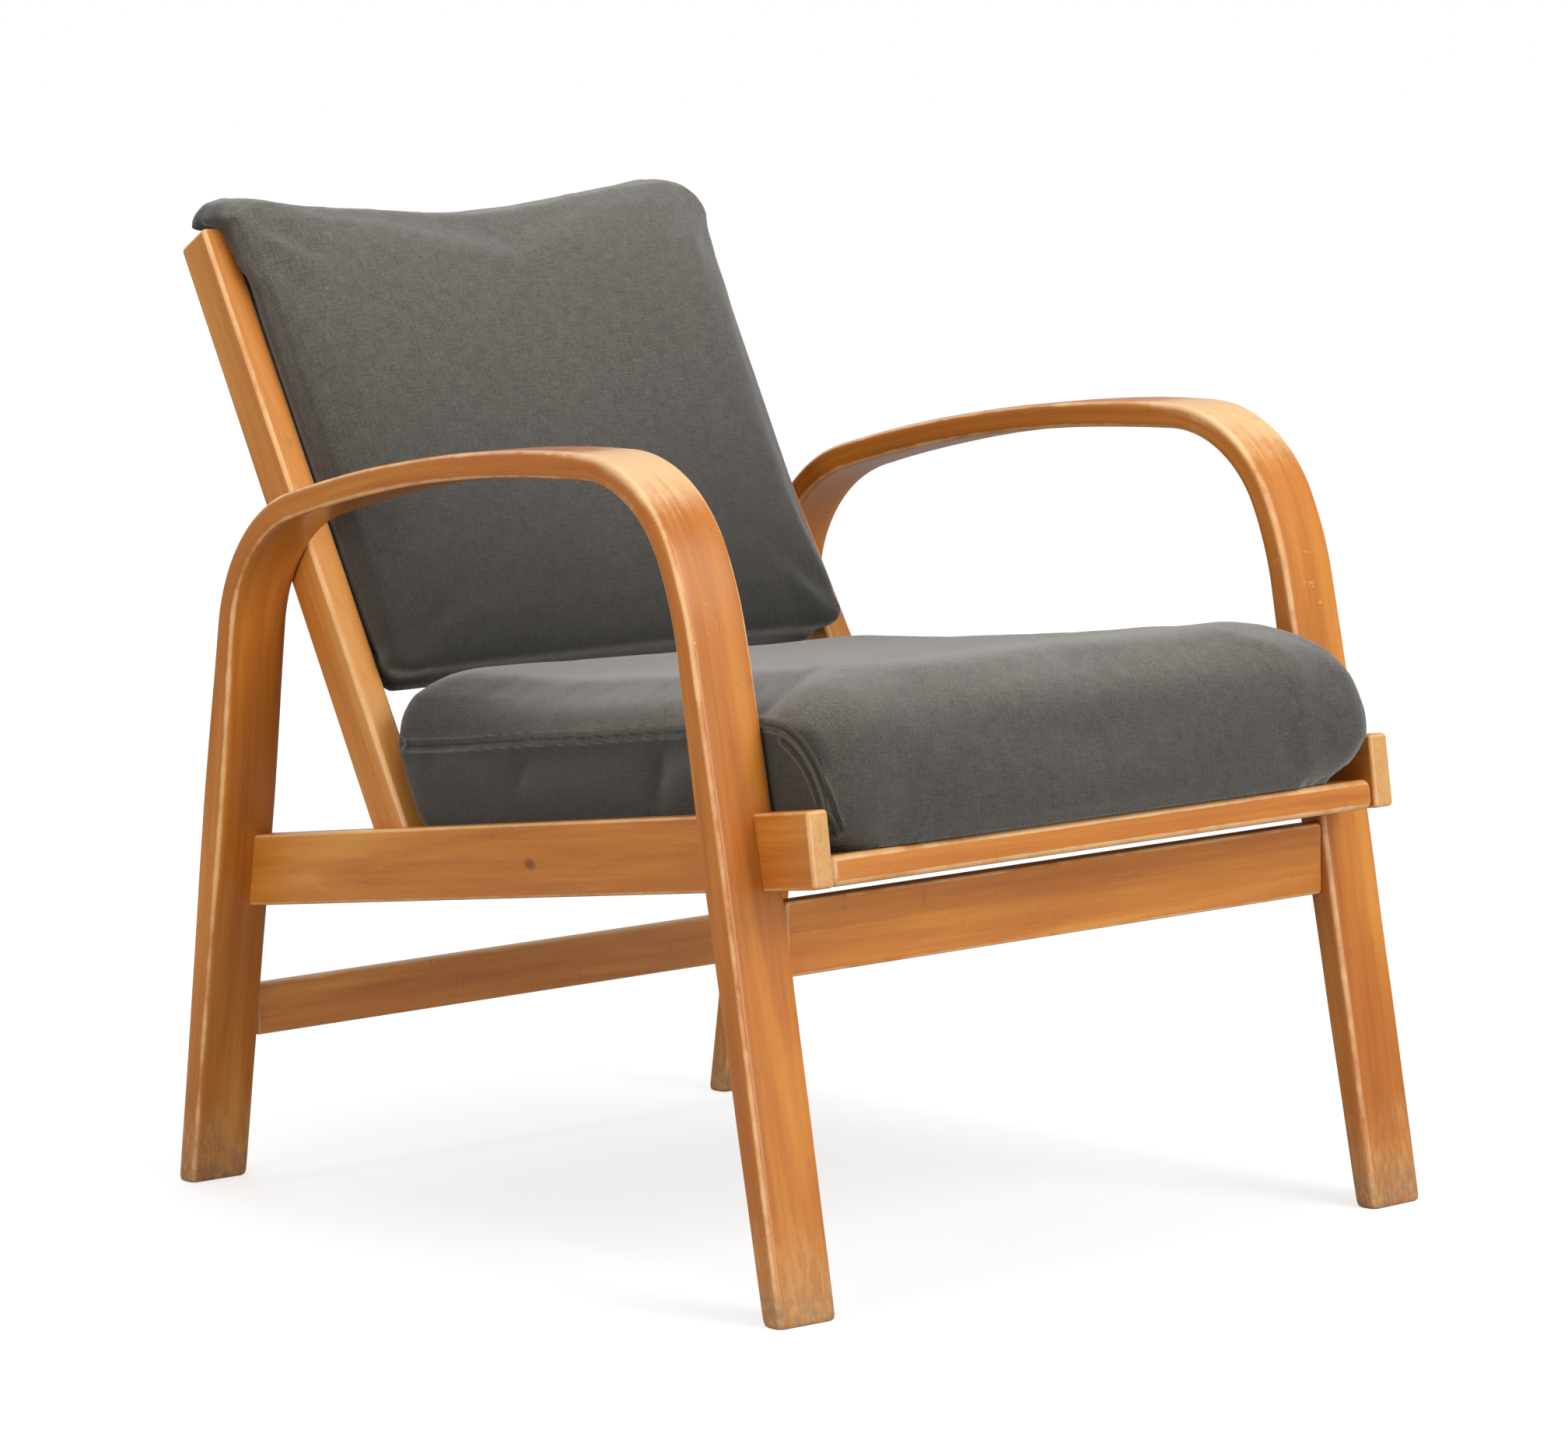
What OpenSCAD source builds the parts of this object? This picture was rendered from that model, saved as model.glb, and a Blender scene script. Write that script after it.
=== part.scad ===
// Lounge chair with two bentwood side frames, a reclined padded back and a loose seat cushion.
// The front of the chair faces -Y, +Z is up, and the feet stand on z = 0.
// Each side is drawn flat in its own plane and then turned in a little toward the back.
// "Back" sizes are measured rearward from the middle of the chair and "front" sizes forward.

/* [Bentwood frames] */
// Outer face of a side frame from the middle plane, halfway along the chair
frame_half_w = 302; // [295:0.5:309]
// Angle by which each side frame turns in toward the back
toe = 1.8; // [0.6:0.1:2.6]
// Width of the bent ribbon across the arm
ribbon_w = 52; // [48:0.5:56]
// Thickness of the ribbon along the arm
ribbon_arm_t = 19.5; // [17:0.5:22]
// Thickness of the ribbon where the seat rail crosses a leg
ribbon_leg_t = 25.5; // [23:0.5:28]
// Thickness of the ribbon at the floor
ribbon_foot_t = 20; // [18:0.5:23]
// Height of the middle of the ribbon at the crest of the arm
crest_h = 578; // [560:1:595]
// Distance of the crest in front of the middle of the chair
crest_front = 177.5; // [167.5:0.5:187.5]
// Radius of the long arc that drops from the crest toward the back
arm_r = 1390; // [1300:10:1480]
// Angle of that long arc
arm_a = 15.1; // [14:0.1:16]
// Radius of the rear bend
rear_bend_r = 121; // [112:1:130]
// Angle of the rear bend
rear_bend_a = 65; // [64:0.1:66]
// Radius of the front bend
front_bend_r = 102; // [94:1:110]
// Angle of the front bend
front_bend_a = 64.7; // [63.5:0.1:66]
// Radius of the easing between the front bend and the straight leg
ease_r = 246; // [220:1:270]
// Angle of that easing
ease_a = 15.2; // [14:0.1:16.4]

/* [Seat rails] */
// Tilt of the seat, rising toward the front
seat_tilt = 7; // [6:0.1:8]
// Lower front corner of a side rail, in front of the middle of the chair
rail_front = 386.5; // [377.5:0.5:395.5]
// Height of that corner
rail_front_h = 299.8; // [294:0.2:306]
// Height of a side rail across its edge
rail_h = 54; // [50:0.5:58]
// Thickness of a side rail
rail_t = 18.8; // [17:0.2:21]
// Thickness of the cross rails under the cushion
cross_t = 22; // [19:0.5:25]
// Depth of the front cross rail
front_cross_d = 50; // [44:1:56]
// Depth of the rear cross rail
rear_cross_d = 45; // [40:1:50]
// Distance of the front cross rail behind the ends of the side rails
cross_recess = 2; // [1:0.5:6]
// Number of thin slats between the cross rails
slat_n = 3; // [2:1:4]
// Depth of a slat
slat_d = 48; // [40:1:54]
// Thickness of a slat
slat_t = 12; // [10:0.5:14]

/* [Stretchers] */
// Height of the lower edge of the front stretcher
front_str_z = 231; // [222:1:236]
// Height of the front stretcher across its face
front_str_h = 53; // [48:0.5:56]
// Thickness of the front stretcher
front_str_t = 17; // [15:0.5:18]
// Height of the lower edge of the rear stretcher
rear_str_z = 111; // [95:1:125]
// Height of the rear stretcher across its face
rear_str_h = 39.5; // [34:0.5:46]
// Thickness of the rear stretcher
rear_str_t = 14; // [12.5:0.5:15]
// Distance of a stretcher's outer face behind the leg's own face
str_setback = 1.2; // [1:0.1:2]

/* [Back] */
// Foot of a post's front face behind the middle of the chair
post_foot_back = 88.7; // [82.5:0.2:94.9]
// Recline of the back from upright
recline = 29.4; // [28:0.1:30.5]
// Length of a post along its front face
post_len = 559; // [545:1:572]
// Width of a post across the chair
post_w = 25; // [22:0.5:28]
// Depth of a post near the seat
post_d = 41; // [38:0.5:44]
// Depth of a post at its top end
post_top_d = 36; // [34:0.5:40]
// Height of a back rail along the posts
back_rail_h = 44; // [38:1:50]
// Thickness of a back rail
back_rail_t = 14; // [12:0.5:15]
// Lower edge of the lowest back rail, along the posts
back_rail_low = 190; // [184:1:200]
// Distance of the highest back rail below the tops of the posts, along the posts
back_rail_drop = 25; // [18:1:32]

/* [Back pad] */
// Lower edge of the pad along the posts
pad_low = 172; // [166:1:180]
// Height of the middle of the pad's dipped top edge above the tops of the posts
pad_over = 1.5; // [0.5:0.5:6]
// Rise of the two ears above that middle
pad_ear_rise = 17; // [10:1:22]
// Width by which the front of the pad laps over each post, near the seat
pad_lap = 5.5; // [2.5:0.5:9.5]
// Reach of each ear beyond the side of the pad
pad_ear_reach = 15; // [11:0.5:19]
// Reach of each ear beyond that side at the front of the pad
pad_ear_front_reach = 7; // [4:0.5:9]
// Amount by which the pad narrows from its lower edge up to the ears
neck_draw = 2; // [1:0.5:4]
// Height over which the pad widens into the ears, below the post tops
neck_drop = 60; // [40:1:66]
// Width of the rounding at the pad's lower corners
corner_w = 14; // [8:1:20]
// Height of that rounding
corner_rise = 36; // [24:1:44]
// Depth of the pad behind the front faces of the posts
pad_rear = 21; // [18:0.5:22]
// Depth of the pad's side border in front of the posts
pad_border = 24; // [18:1:30]
// Crown of the pad beyond its border
pad_crown = 27; // [18:1:34]
// Thickness of the board inside the pad
board_t = 8; // [6:0.5:10]

/* [Seat cushion] */
// Height of the cushion from its base to the side seam
cushion_seam_h = 92; // [84:1:98]
// Crown of the cushion above the side seam
cushion_crown = 32; // [26:1:38]
// Extra height of the crown at the rear, where it is pushed up against the posts
cushion_rear_lift = 9; // [2:0.5:14]
// Overhang of the rounded front beyond the ends of the side rails
cushion_nose = 15; // [9:0.5:19]
// Depth of the rounding at the front, along the middle
cushion_nose_d = 114; // [98:1:130]
// Height of the most forward point above the base
cushion_nose_h = 54; // [48:1:60]
// Overhang of the front corners beyond the ends of the side rails
corner_lead = 2; // [0.5:0.5:4]
// Depth of the rounding at the front corners
corner_d = 57; // [48:1:66]
// Height at which that rounding starts
corner_h = 25; // [20:1:32]
// Amount by which the lower edge is tucked in under the walls
base_tuck = 12; // [8:0.5:15]
// Amount by which the sides are drawn in between the corners
cushion_draw = 2.5; // [1:0.1:4]
// Clearance between the cushion and the side rails
cushion_side_gap = 1.6; // [1:0.1:3]
// Thickness of the covers' cloth with its lining
cloth_t = 1.6; // [1:0.1:2.2]

/* [Fastenings] */
// Diameter of the dowels in the stretchers
big_dowel_d = 10; // [8:0.5:11]
// Depth of a stretcher dowel on each side of its joint
big_dowel_l = 26; // [20:1:30]
// Diameter of the dowels in the cross rails and back rails
dowel_d = 8; // [6:0.5:9]
// Depth of those dowels on each side of their joint
dowel_l = 12; // [9:0.5:14]
// Diameter of the dowels in the slats
slat_dowel_d = 6; // [5:0.5:7]
// Diameter of a wood screw's shank
screw_d = 4.5; // [4:0.1:5]
// Diameter of a wood screw's head
screw_head_d = 8.6; // [8:0.1:9.4]
// Height of a wood screw's head
screw_head_h = 2.6; // [2:0.1:3]
// Length of the screws in the side rails and posts
screw_l = 38; // [34:0.5:40]
// Length of the screws that hold the pad
pad_screw_l = 21; // [19:0.5:22]

/* [Hidden] */
$fn = 48;

// Colours of the varnished beech, its paler slats, the steel and the cloth
wood_colour = [0.80, 0.52, 0.25];
pale_colour = [0.86, 0.66, 0.40];
steel_colour = [0.62, 0.60, 0.56];
cloth_colour = [0.36, 0.35, 0.33];
foam_colour = [0.90, 0.86, 0.70];

// Overrun of cuts, clearance round a dowel or screw, and clearance between soft solids
over = 1;
fit = 0.1;
soft_gap = 0.3;
// Clearance of the pad round a post, and of the cushion in front of the posts
post_clear = 0.5;
cushion_rear_gap = 1.4;
step_v = post_len + post_clear;
pad_mid_h = step_v + pad_over - pad_low;
// Forward slope of the pad's face over the posts
shelf_slope = 1;
// Shares of the recline by which the pad's underside and its top slope
under_share = 0.38;
top_share = 0.72;
// Peaks of the ears, as a share of the half width across them
ear_peak_share = 0.8;
ear_angles = [22, 45, 68, 90];
top_shares = [0.62, 0.44, 0.22, 0];
side_shares = [0.13, 0.35, 0.6, 0.8];
corner_share = 0.3;
pad_crown_shares = [0.99, 0.96, 0.9, 0.8, 0.62, 0.34];
// Height up to which a leg thickens, as a share of the crest height
leg_taper_share = 0.52;
// Height at which the arm's thickness is reached, as a share of the crest height
arm_taper_share = 0.8;
// Turn of the ribbon covered by one facet of a bend
bend_step = 4;

// Side profile of the bent ribbon: each step is [y, z, heading below level]
function arc_step(p, r, a, s) = [p[0] + s * r * (sin(p[2] + a) - sin(p[2])),
                                 p[1] - r * (cos(p[2]) - cos(p[2] + a)),
                                 p[2] + a];
function arc_run(p, r, a, s) = let (n = ceil(a / bend_step))
    [for (i = [1:n]) arc_step(p, r, a * i / n, s)];
crest = [-crest_front, crest_h, 0];
rear_arm_end = arc_step(crest, arm_r, arm_a, 1);
rear_leg_top = arc_step(rear_arm_end, rear_bend_r, rear_bend_a, 1);
front_bend_end = arc_step(crest, front_bend_r, front_bend_a, -1);
front_leg_top = arc_step(front_bend_end, ease_r, ease_a, -1);
function leg_point(top, z, s) = [top[0] + s * (top[1] - z) / tan(top[2]), z, top[2]];
leg_thick_z = leg_taper_share * crest_h;
arm_thick_z = arm_taper_share * crest_h;
function ribbon_t(z) = z < leg_thick_z
    ? ribbon_foot_t + (ribbon_leg_t - ribbon_foot_t) * z / leg_thick_z
    : ribbon_leg_t + (ribbon_arm_t - ribbon_leg_t)
      * min(1, (z - leg_thick_z) / (arm_thick_z - leg_thick_z));

rear_run = concat([crest], arc_run(crest, arm_r, arm_a, 1),
                  arc_run(rear_arm_end, rear_bend_r, rear_bend_a, 1),
                  [leg_point(rear_leg_top, leg_thick_z, 1)]);
front_run = concat([crest], arc_run(crest, front_bend_r, front_bend_a, -1),
                   arc_run(front_bend_end, ease_r, ease_a, -1),
                   [leg_point(front_leg_top, leg_thick_z, -1)]);
// Point of a contour beside a step of the run: e is 1 on the outer side and -1 on the inner
function beside(p, s, e) = [p[0] + e * s * sin(p[2]) * ribbon_t(p[1]) / 2,
                            p[1] + e * cos(p[2]) * ribbon_t(p[1]) / 2];
function on_floor(a, b) = [a[0] + (b[0] - a[0]) * a[1] / (a[1] - b[1]), 0];
function contour(run, top, s, e) = let (pts = [for (p = run) beside(p, s, e)],
                                        foot = beside(leg_point(top, 0, s), s, e))
    concat(pts, [on_floor(pts[len(pts) - 1], foot)]);
function back_to_front(list) = [for (i = [len(list) - 1:-1:0]) list[i]];
function rest_of(list) = [for (i = [1:len(list) - 1]) list[i]];
outer_rear = contour(rear_run, rear_leg_top, 1, 1);
outer_front = contour(front_run, front_leg_top, -1, 1);
inner_rear = contour(rear_run, rear_leg_top, 1, -1);
inner_front = contour(front_run, front_leg_top, -1, -1);
ribbon_outline = concat(back_to_front(outer_rear), rest_of(outer_front),
                        back_to_front(rest_of(inner_front)), inner_rear);

// Leg surfaces at a height: f is 1 for the face away from the middle of the chair, -1 for the near
function rear_leg_y(z, f) = leg_point(rear_leg_top, z, 1)[0]
    + f * ribbon_t(z) / 2 / sin(rear_leg_top[2]);
function front_leg_y(z, f) = leg_point(front_leg_top, z, -1)[0]
    - f * ribbon_t(z) / 2 / sin(front_leg_top[2]);

// Side frame plane: x = 0 is its outer face and the inner face of the ribbon is at -ribbon_w
module in_side_plane(s) {
    mirror([s < 0 ? 1 : 0, 0, 0])
        translate([frame_half_w, 0, 0])
            rotate([0, 0, toe])
                children();
}
module side_slab(x, t, outline) {
    translate([x, 0, 0])
        rotate([90, 0, 90])
            linear_extrude(t)
                polygon(outline);
}
// The same inner face seen in the chair's own axes
function plane_y(y) = y * cos(toe) - ribbon_w * sin(toe);
function inner_x(y) = frame_half_w - ribbon_w / cos(toe) - y * tan(toe);

// Side rail outline in the side plane
rail_rise = tan(seat_tilt);
function rail_low_z(y) = rail_front_h - (y + rail_front) * rail_rise;
rail_edge = rail_h / cos(seat_tilt);
function rail_end_y(lift, i) = i == 0 ? rear_leg_y(rail_low_z(0) + lift, 1)
    : rear_leg_y(rail_low_z(rail_end_y(lift, i - 1)) + lift, 1);
solve_steps = 6;
rail_rear_low = rail_end_y(0, solve_steps);
rail_rear_top = rail_end_y(rail_edge, solve_steps);
rail_front_low = [-rail_front, rail_front_h];
rail_front_top = rail_front_low + rail_h * [sin(seat_tilt), cos(seat_tilt)];
rail_outline = [rail_front_low, rail_front_top,
                [rail_rear_top, rail_low_z(rail_rear_top) + rail_edge],
                [rail_rear_low, rail_low_z(rail_rear_low)]];
// The halving in the ribbon runs past the rail's rear end so that the leg stays open there
halving_outline = [rail_front_low, rail_front_top,
                   [rail_rear_top + over, rail_low_z(rail_rear_top + over) + rail_edge],
                   [rail_rear_low + over, rail_low_z(rail_rear_low + over)]];

// Seat plane: y runs back from the front ends of the side rails, z up from their lower edges
seat_origin_y = plane_y(-rail_front);
module on_seat() {
    translate([0, seat_origin_y, rail_front_h])
        rotate([-seat_tilt, 0, 0])
            children();
}
function seat_y(y, z) = seat_origin_y + y * cos(seat_tilt) + z * sin(seat_tilt);
function seat_x(y, z) = inner_x(seat_y(y, z));
module seat_member(y, d, z, t) {
    near = seat_x(y, z + t);
    far = seat_x(y + d, z + t);
    translate([0, 0, z])
        linear_extrude(t)
            polygon([[-near, y], [near, y], [far, y + d], [-far, y + d]]);
}
// Where the front faces of the posts stand on the seat plane
post_lean = recline - seat_tilt;
post_seat_y = (post_foot_back + rail_front) * cos(toe) / cos(seat_tilt);
function post_front_on_seat(z) = post_seat_y + z * tan(post_lean);
member_gap = 1.5;
rear_cross_y = post_seat_y - member_gap - rear_cross_d;
slat_span = rear_cross_y - cross_recess - front_cross_d;
slat_space = (slat_span - slat_n * slat_d) / (slat_n + 1);
function slat_y(i) = cross_recess + front_cross_d + slat_space + i * (slat_d + slat_space);
slat_z = cross_t - slat_t;

// Dowel places on the seat plane: quarter points of each member's depth
quarter_shares = [0.25, 0.75];
cross_dowels = [for (m = [[cross_recess, front_cross_d], [rear_cross_y, rear_cross_d]])
                for (q = quarter_shares) [m[0] + m[1] * q, cross_t / 2]];
slat_dowel_spots = [for (i = [0:slat_n - 1]) for (q = quarter_shares)
                    [slat_y(i) + slat_d * q, slat_z + slat_t / 2]];
module at_seat_joints(spots) {
    on_seat()
        for (s = [-1, 1])
            for (p = spots)
                translate([s * seat_x(p[0], p[1]), p[0], p[1]])
                    rotate([0, 90, 0])
                        children();
}
module dowel(d, l) {
    cylinder(d = d, h = 2 * l, center = true);
}
module dowel_hole(d, l) {
    cylinder(d = d + 2 * fit, h = 2 * (l + over), center = true);
}
module seat_joint_holes() {
    at_seat_joints(cross_dowels) dowel_hole(dowel_d, dowel_l);
    at_seat_joints(slat_dowel_spots) dowel_hole(slat_dowel_d, dowel_l);
}

// Wood screw along +z with the top of its head at z = 0 and its point at -l
module screw(l) {
    translate([0, 0, -l])
        cylinder(d = screw_d, h = l - screw_head_h);
    translate([0, 0, -screw_head_h])
        cylinder(d = screw_head_d, h = screw_head_h);
}
module screw_hole(l) {
    translate([0, 0, -l - over])
        cylinder(d = screw_d + 2 * fit, h = l + over);
    translate([0, 0, -screw_head_h])
        cylinder(d = screw_head_d + 2 * fit, h = screw_head_h + over);
}
// Screw places in the side plane, driven outward from a face at x
module at_side_spots(s, x, spots) {
    in_side_plane(s)
        for (p = spots)
            translate([x, p[0], p[1]])
                rotate([0, -90, 0])
                    children();
}
// Each leg takes two screws on its middle line, set apart along the leg
screw_spread_share = 0.2;
rail_mid_rise = rail_edge / 2;
function leg_cross(f, i) = i == 0 ? 0
    : f > 0 ? rear_leg_y(rail_low_z(leg_cross(f, i - 1)) + rail_mid_rise, 0)
            : front_leg_y(rail_low_z(leg_cross(f, i - 1)) + rail_mid_rise, 0);
function leg_screw(f, k) = let (y = leg_cross(f, solve_steps),
                                z = rail_low_z(y) + rail_mid_rise + k * rail_h * screw_spread_share)
    [f > 0 ? rear_leg_y(z, 0) : front_leg_y(z, 0), z];
rail_screw_spots = [for (f = [-1, 1]) for (k = [-1, 1]) leg_screw(f, k)];
module at_rail_screws(s) {
    at_side_spots(s, -ribbon_w, rail_screw_spots) children();
}

// Back posts in the side plane
post_foot_z = rail_low_z(post_foot_back);
post_foot = [post_foot_back, post_foot_z];
post_up = [sin(recline), cos(recline)];
post_back = [cos(recline), -sin(recline)];
post_front_top = post_foot + post_len * post_up;
post_rear_top = post_front_top + post_top_d * post_back;
post_rear_foot = post_foot + post_d * post_back;
function above_rail(p) = p[1] - rail_low_z(p[0]);
function cut_to_rail(p, q) = p + (q - p) * above_rail(p) / (above_rail(p) - above_rail(q));
post_outline = [post_foot, post_front_top, post_rear_top,
                cut_to_rail(post_rear_top, post_rear_foot)];
// Middle line of a post at a distance along it
function post_mid(v) = post_foot + v * post_up
    + (post_d + (post_top_d - post_d) * v / post_len) / 2 * post_back;
// Point on the rear bend at a heading, and how far it lies behind a post's middle line
function bend_point(h) = arc_step(rear_arm_end, rear_bend_r, h - rear_arm_end[2], 1);
function off_post(h) = let (p = bend_point(h), d = [p[0], p[1]] - post_foot)
    d * post_back - (post_d + (post_top_d - post_d) * (d * post_up) / post_len) / 2;
function cross_heading(lo, hi, i) = let (mid = (lo + hi) / 2)
    i == 0 ? mid : off_post(mid) < 0 ? cross_heading(mid, hi, i - 1)
                                     : cross_heading(lo, mid, i - 1);
bisect_steps = 20;
bend_heading = cross_heading(arm_a, arm_a + rear_bend_a, bisect_steps);
bend_screw_turn = 4.5;
function bend_spot(h) = let (p = bend_point(h)) [p[0], p[1]];
// Two screws hold a post to the bend and two hold its foot to the side rail
foot_screw_shares = [0.3, 0.75];
post_screw_spots = concat([for (k = [-1, 1]) bend_spot(bend_heading + k * bend_screw_turn)],
                          [for (q = foot_screw_shares) post_mid(q * rail_h)]);
module at_post_screws(s) {
    at_side_spots(s, -ribbon_w - post_w, post_screw_spots) children();
}

// Back plane: it touches the posts' front inner edges, with z up along them and -y forward
back_origin_y = post_foot_back * cos(toe) - (ribbon_w + post_w) * sin(toe);
back_lean = atan(tan(recline) * cos(toe));
module on_back() {
    translate([0, back_origin_y, post_foot_z])
        rotate([-back_lean, 0, 0])
            children();
}
// World y of a point at a distance v along the posts and behind their front edges
function back_y(v, behind) = back_origin_y + v * sin(back_lean) + behind * cos(back_lean);
function back_x(v, behind) = inner_x(back_y(v, behind)) - post_w / cos(toe);
back_rail_pitch = (post_len - back_rail_drop - back_rail_h - back_rail_low) / 2;
back_rail_lows = [for (i = [0:2]) back_rail_low + i * back_rail_pitch];
back_rail_rear = pad_rear + back_rail_t;
module back_rail(i) {
    low = back_rail_lows[i];
    high = low + back_rail_h;
    w_low = back_x(low, back_rail_rear);
    w_high = back_x(high, back_rail_rear);
    difference() {
        on_back()
            translate([0, back_rail_rear, 0])
                rotate([90, 0, 0])
                    linear_extrude(back_rail_t)
                        polygon([[-w_low, low], [w_low, low], [w_high, high], [-w_high, high]]);
        at_back_joints() dowel_hole(dowel_d, dowel_l);
        at_pad_screws() screw_hole(pad_screw_l);
    }
}
back_dowel_spots = [for (low = back_rail_lows) for (q = quarter_shares)
                    [low + back_rail_h * q, pad_rear + back_rail_t / 2]];
module at_back_joints() {
    on_back()
        for (s = [-1, 1])
            for (p = back_dowel_spots)
                translate([s * back_x(p[0], p[1]), p[1], p[0]])
                    rotate([0, 90, 0])
                        children();
}
// Pad screws come through the back rails, heads to the rear
pad_screw_x_share = 0.5;
module at_pad_screws() {
    on_back()
        for (s = [-1, 1])
            for (low = back_rail_lows)
                translate([s * pad_half_w * pad_screw_x_share, back_rail_rear,
                           low + back_rail_h / 2])
                    rotate([-90, 0, 0])
                        children();
}

// Stretchers run between the inner faces of the ribbons
module cross_board(y_front, t, z, h) {
    near = inner_x(y_front);
    far = inner_x(y_front + t);
    translate([0, 0, z])
        linear_extrude(h)
            polygon([[-near, y_front], [near, y_front],
                     [far, y_front + t], [-far, y_front + t]]);
}
front_str_y = plane_y(front_leg_y(front_str_z + front_str_h, 1)) + str_setback;
rear_str_y = plane_y(rear_leg_y(rear_str_z, -1)) + str_setback;
stretcher_spots = concat(
    [for (q = quarter_shares) [front_str_y + front_str_t / 2, front_str_z + front_str_h * q]],
    [for (q = quarter_shares) [rear_str_y + rear_str_t / 2, rear_str_z + rear_str_h * q]]);
module at_stretcher_joints() {
    for (s = [-1, 1])
        for (p = stretcher_spots)
            translate([s * inner_x(p[0]), p[0], p[1]])
                rotate([0, 90, 0])
                    children();
}

// Closed skin over a stack of rings with equal point counts, closed by a point at each end
function ring_faces(n, k) = [for (j = [0:k - 2]) for (i = [0:n - 1]) each
    [[j * n + i, (j + 1) * n + i, (j + 1) * n + (i + 1) % n],
     [j * n + i, (j + 1) * n + (i + 1) % n, j * n + (i + 1) % n]]];
function cap_faces(n, base, tip, up) = [for (i = [0:n - 1])
    up ? [base + i, tip, base + (i + 1) % n] : [base + (i + 1) % n, tip, base + i]];
module ring_solid(rings, first_tip, last_tip) {
    n = len(rings[0]);
    k = len(rings);
    polyhedron(
        points = concat([for (r = rings) each r], [first_tip, last_tip]),
        faces = concat(ring_faces(n, k), cap_faces(n, 0, n * k, false),
                       cap_faces(n, n * (k - 1), n * k + 1, true)));
}
// Open skin: outer rings, then inner rings listed from the tip back to the rim
module ring_shell(outer, outer_tip, inner, inner_tip) {
    n = len(outer[0]);
    k = len(outer);
    m = len(inner);
    inside = n * k + 1;
    outer_faces = concat(ring_faces(n, k), cap_faces(n, n * (k - 1), n * k, true));
    inner_faces = [for (f = concat(ring_faces(n, m), cap_faces(n, n * (m - 1), n * m, true)))
                   [f[2] + inside, f[1] + inside, f[0] + inside]];
    rim_faces = [for (i = [0:n - 1]) each
        [[i, (i + 1) % n, inside + (i + 1) % n], [i, inside + (i + 1) % n, inside + i]]];
    polyhedron(
        points = concat([for (r = outer) each r], [outer_tip],
                        [for (r = inner) each r], [inner_tip]),
        faces = concat(outer_faces, inner_faces, rim_faces));
}

// Quarter of a rounded square outline of half width 1, from its side to its end
quarter_outline_shares = [[1, 0], [1, 0.4], [1, 0.75], [1, 0.955], [0.99, 0.988],
                          [0.965, 1], [0.9, 1], [0.74, 1], [0.5, 1], [0.25, 1]];
function turned(list, n) = n == 0 ? list : turned([for (p = list) [-p[1], p[0]]], n - 1);
unit_ring = concat(quarter_outline_shares, turned(quarter_outline_shares, 1),
                   turned(quarter_outline_shares, 2), turned(quarter_outline_shares, 3));
// Swell of a soft face: 0 at its edges, 1 in its middle, and boxier with a higher power
function swell(share, power) = sqrt(max(0, 1 - pow(min(1, abs(share)), power)));
pad_power = 4;
cushion_power = 14;

// Seat cushion on the seat plane, with heights h above its base
cushion_base = cross_t + soft_gap;
function rear_wall(h) = post_front_on_seat(cushion_base) - cushion_rear_gap
    + min(h, cushion_seam_h) * tan(post_lean);
// Lower edge tucked in all round, and more at the corners
function tuck(h) = base_tuck * pow(max(0, 1 - h / cushion_nose_h), 3);
// Front of the cushion in its middle and at its corners: rounded noses over a short upright
function nose_mid(h) = h < cushion_nose_h
    ? -cushion_nose
    : cushion_nose_d * (1 - pow(max(0, 1 - pow((h - cushion_nose_h)
        / (cushion_seam_h + cushion_crown - cushion_nose_h), nose_round)), 1 / nose_round))
      - cushion_nose;
function nose_corner(h) = h < corner_h
    ? -corner_lead
    : corner_d * (1 - sqrt(max(0, 1 - pow((h - corner_h)
        / (cushion_seam_h - corner_h), 2)))) - corner_lead;
function nose(h, share) = nose_mid(h)
    + (nose_corner(h) - nose_mid(h)) * pow(abs(share), nose_power);
nose_power = 18;
corner_power = 8;
nose_round = 2.5;
function nose_rise(y) = y + cushion_nose > cushion_nose_d ? 1
    : pow(max(0, 1 - pow(1 - (y + cushion_nose) / cushion_nose_d, nose_round)), 1 / nose_round);
function side_wall(y, h, t) = seat_x(y, cushion_base + h) - cushion_side_gap
    - cushion_draw * (1 - t * t);
function wall_point(u, h) = let (
        pull = tuck(h) * (1 + pow(abs(u[0] * u[1]), corner_power)),
        front = nose(h, u[0]) + pull, rear = rear_wall(h) - pull,
        y = (front + rear) / 2 + u[1] * (rear - front) / 2)
    [u[0] * (side_wall(y, h, u[1]) - pull), y, cushion_base + h];
// Crown: the seam outline drawn in by k, lifted by the swell of the top
cushion_mid = (nose(cushion_seam_h, 0) + rear_wall(cushion_seam_h)) / 2;
function crown_point(u, k) = let (edge = wall_point(u, cushion_seam_h),
        front = nose(cushion_seam_h, u[0]),
        y = cushion_mid + (edge[1] - cushion_mid) * k,
        rise = (cushion_seam_h + cushion_crown - cushion_nose_h)
            * nose_rise(y - front + nose_mid(cushion_seam_h)) + cushion_nose_h - cushion_seam_h,
        t = max(0, k * u[1]),
        lift = (max(0, rise) + cushion_rear_lift * t * t) * swell(k * u[0], cushion_power)
            * swell(t, cushion_power))
    [edge[0] * k, y + lift * t * t * tan(post_lean), cushion_base + cushion_seam_h + lift];
wall_shares = [0, 0.06, 0.18, 0.38, 0.6, 0.8, 1];
crown_shares = [0.985, 0.95, 0.89, 0.8, 0.66, 0.46, 0.24];
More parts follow.
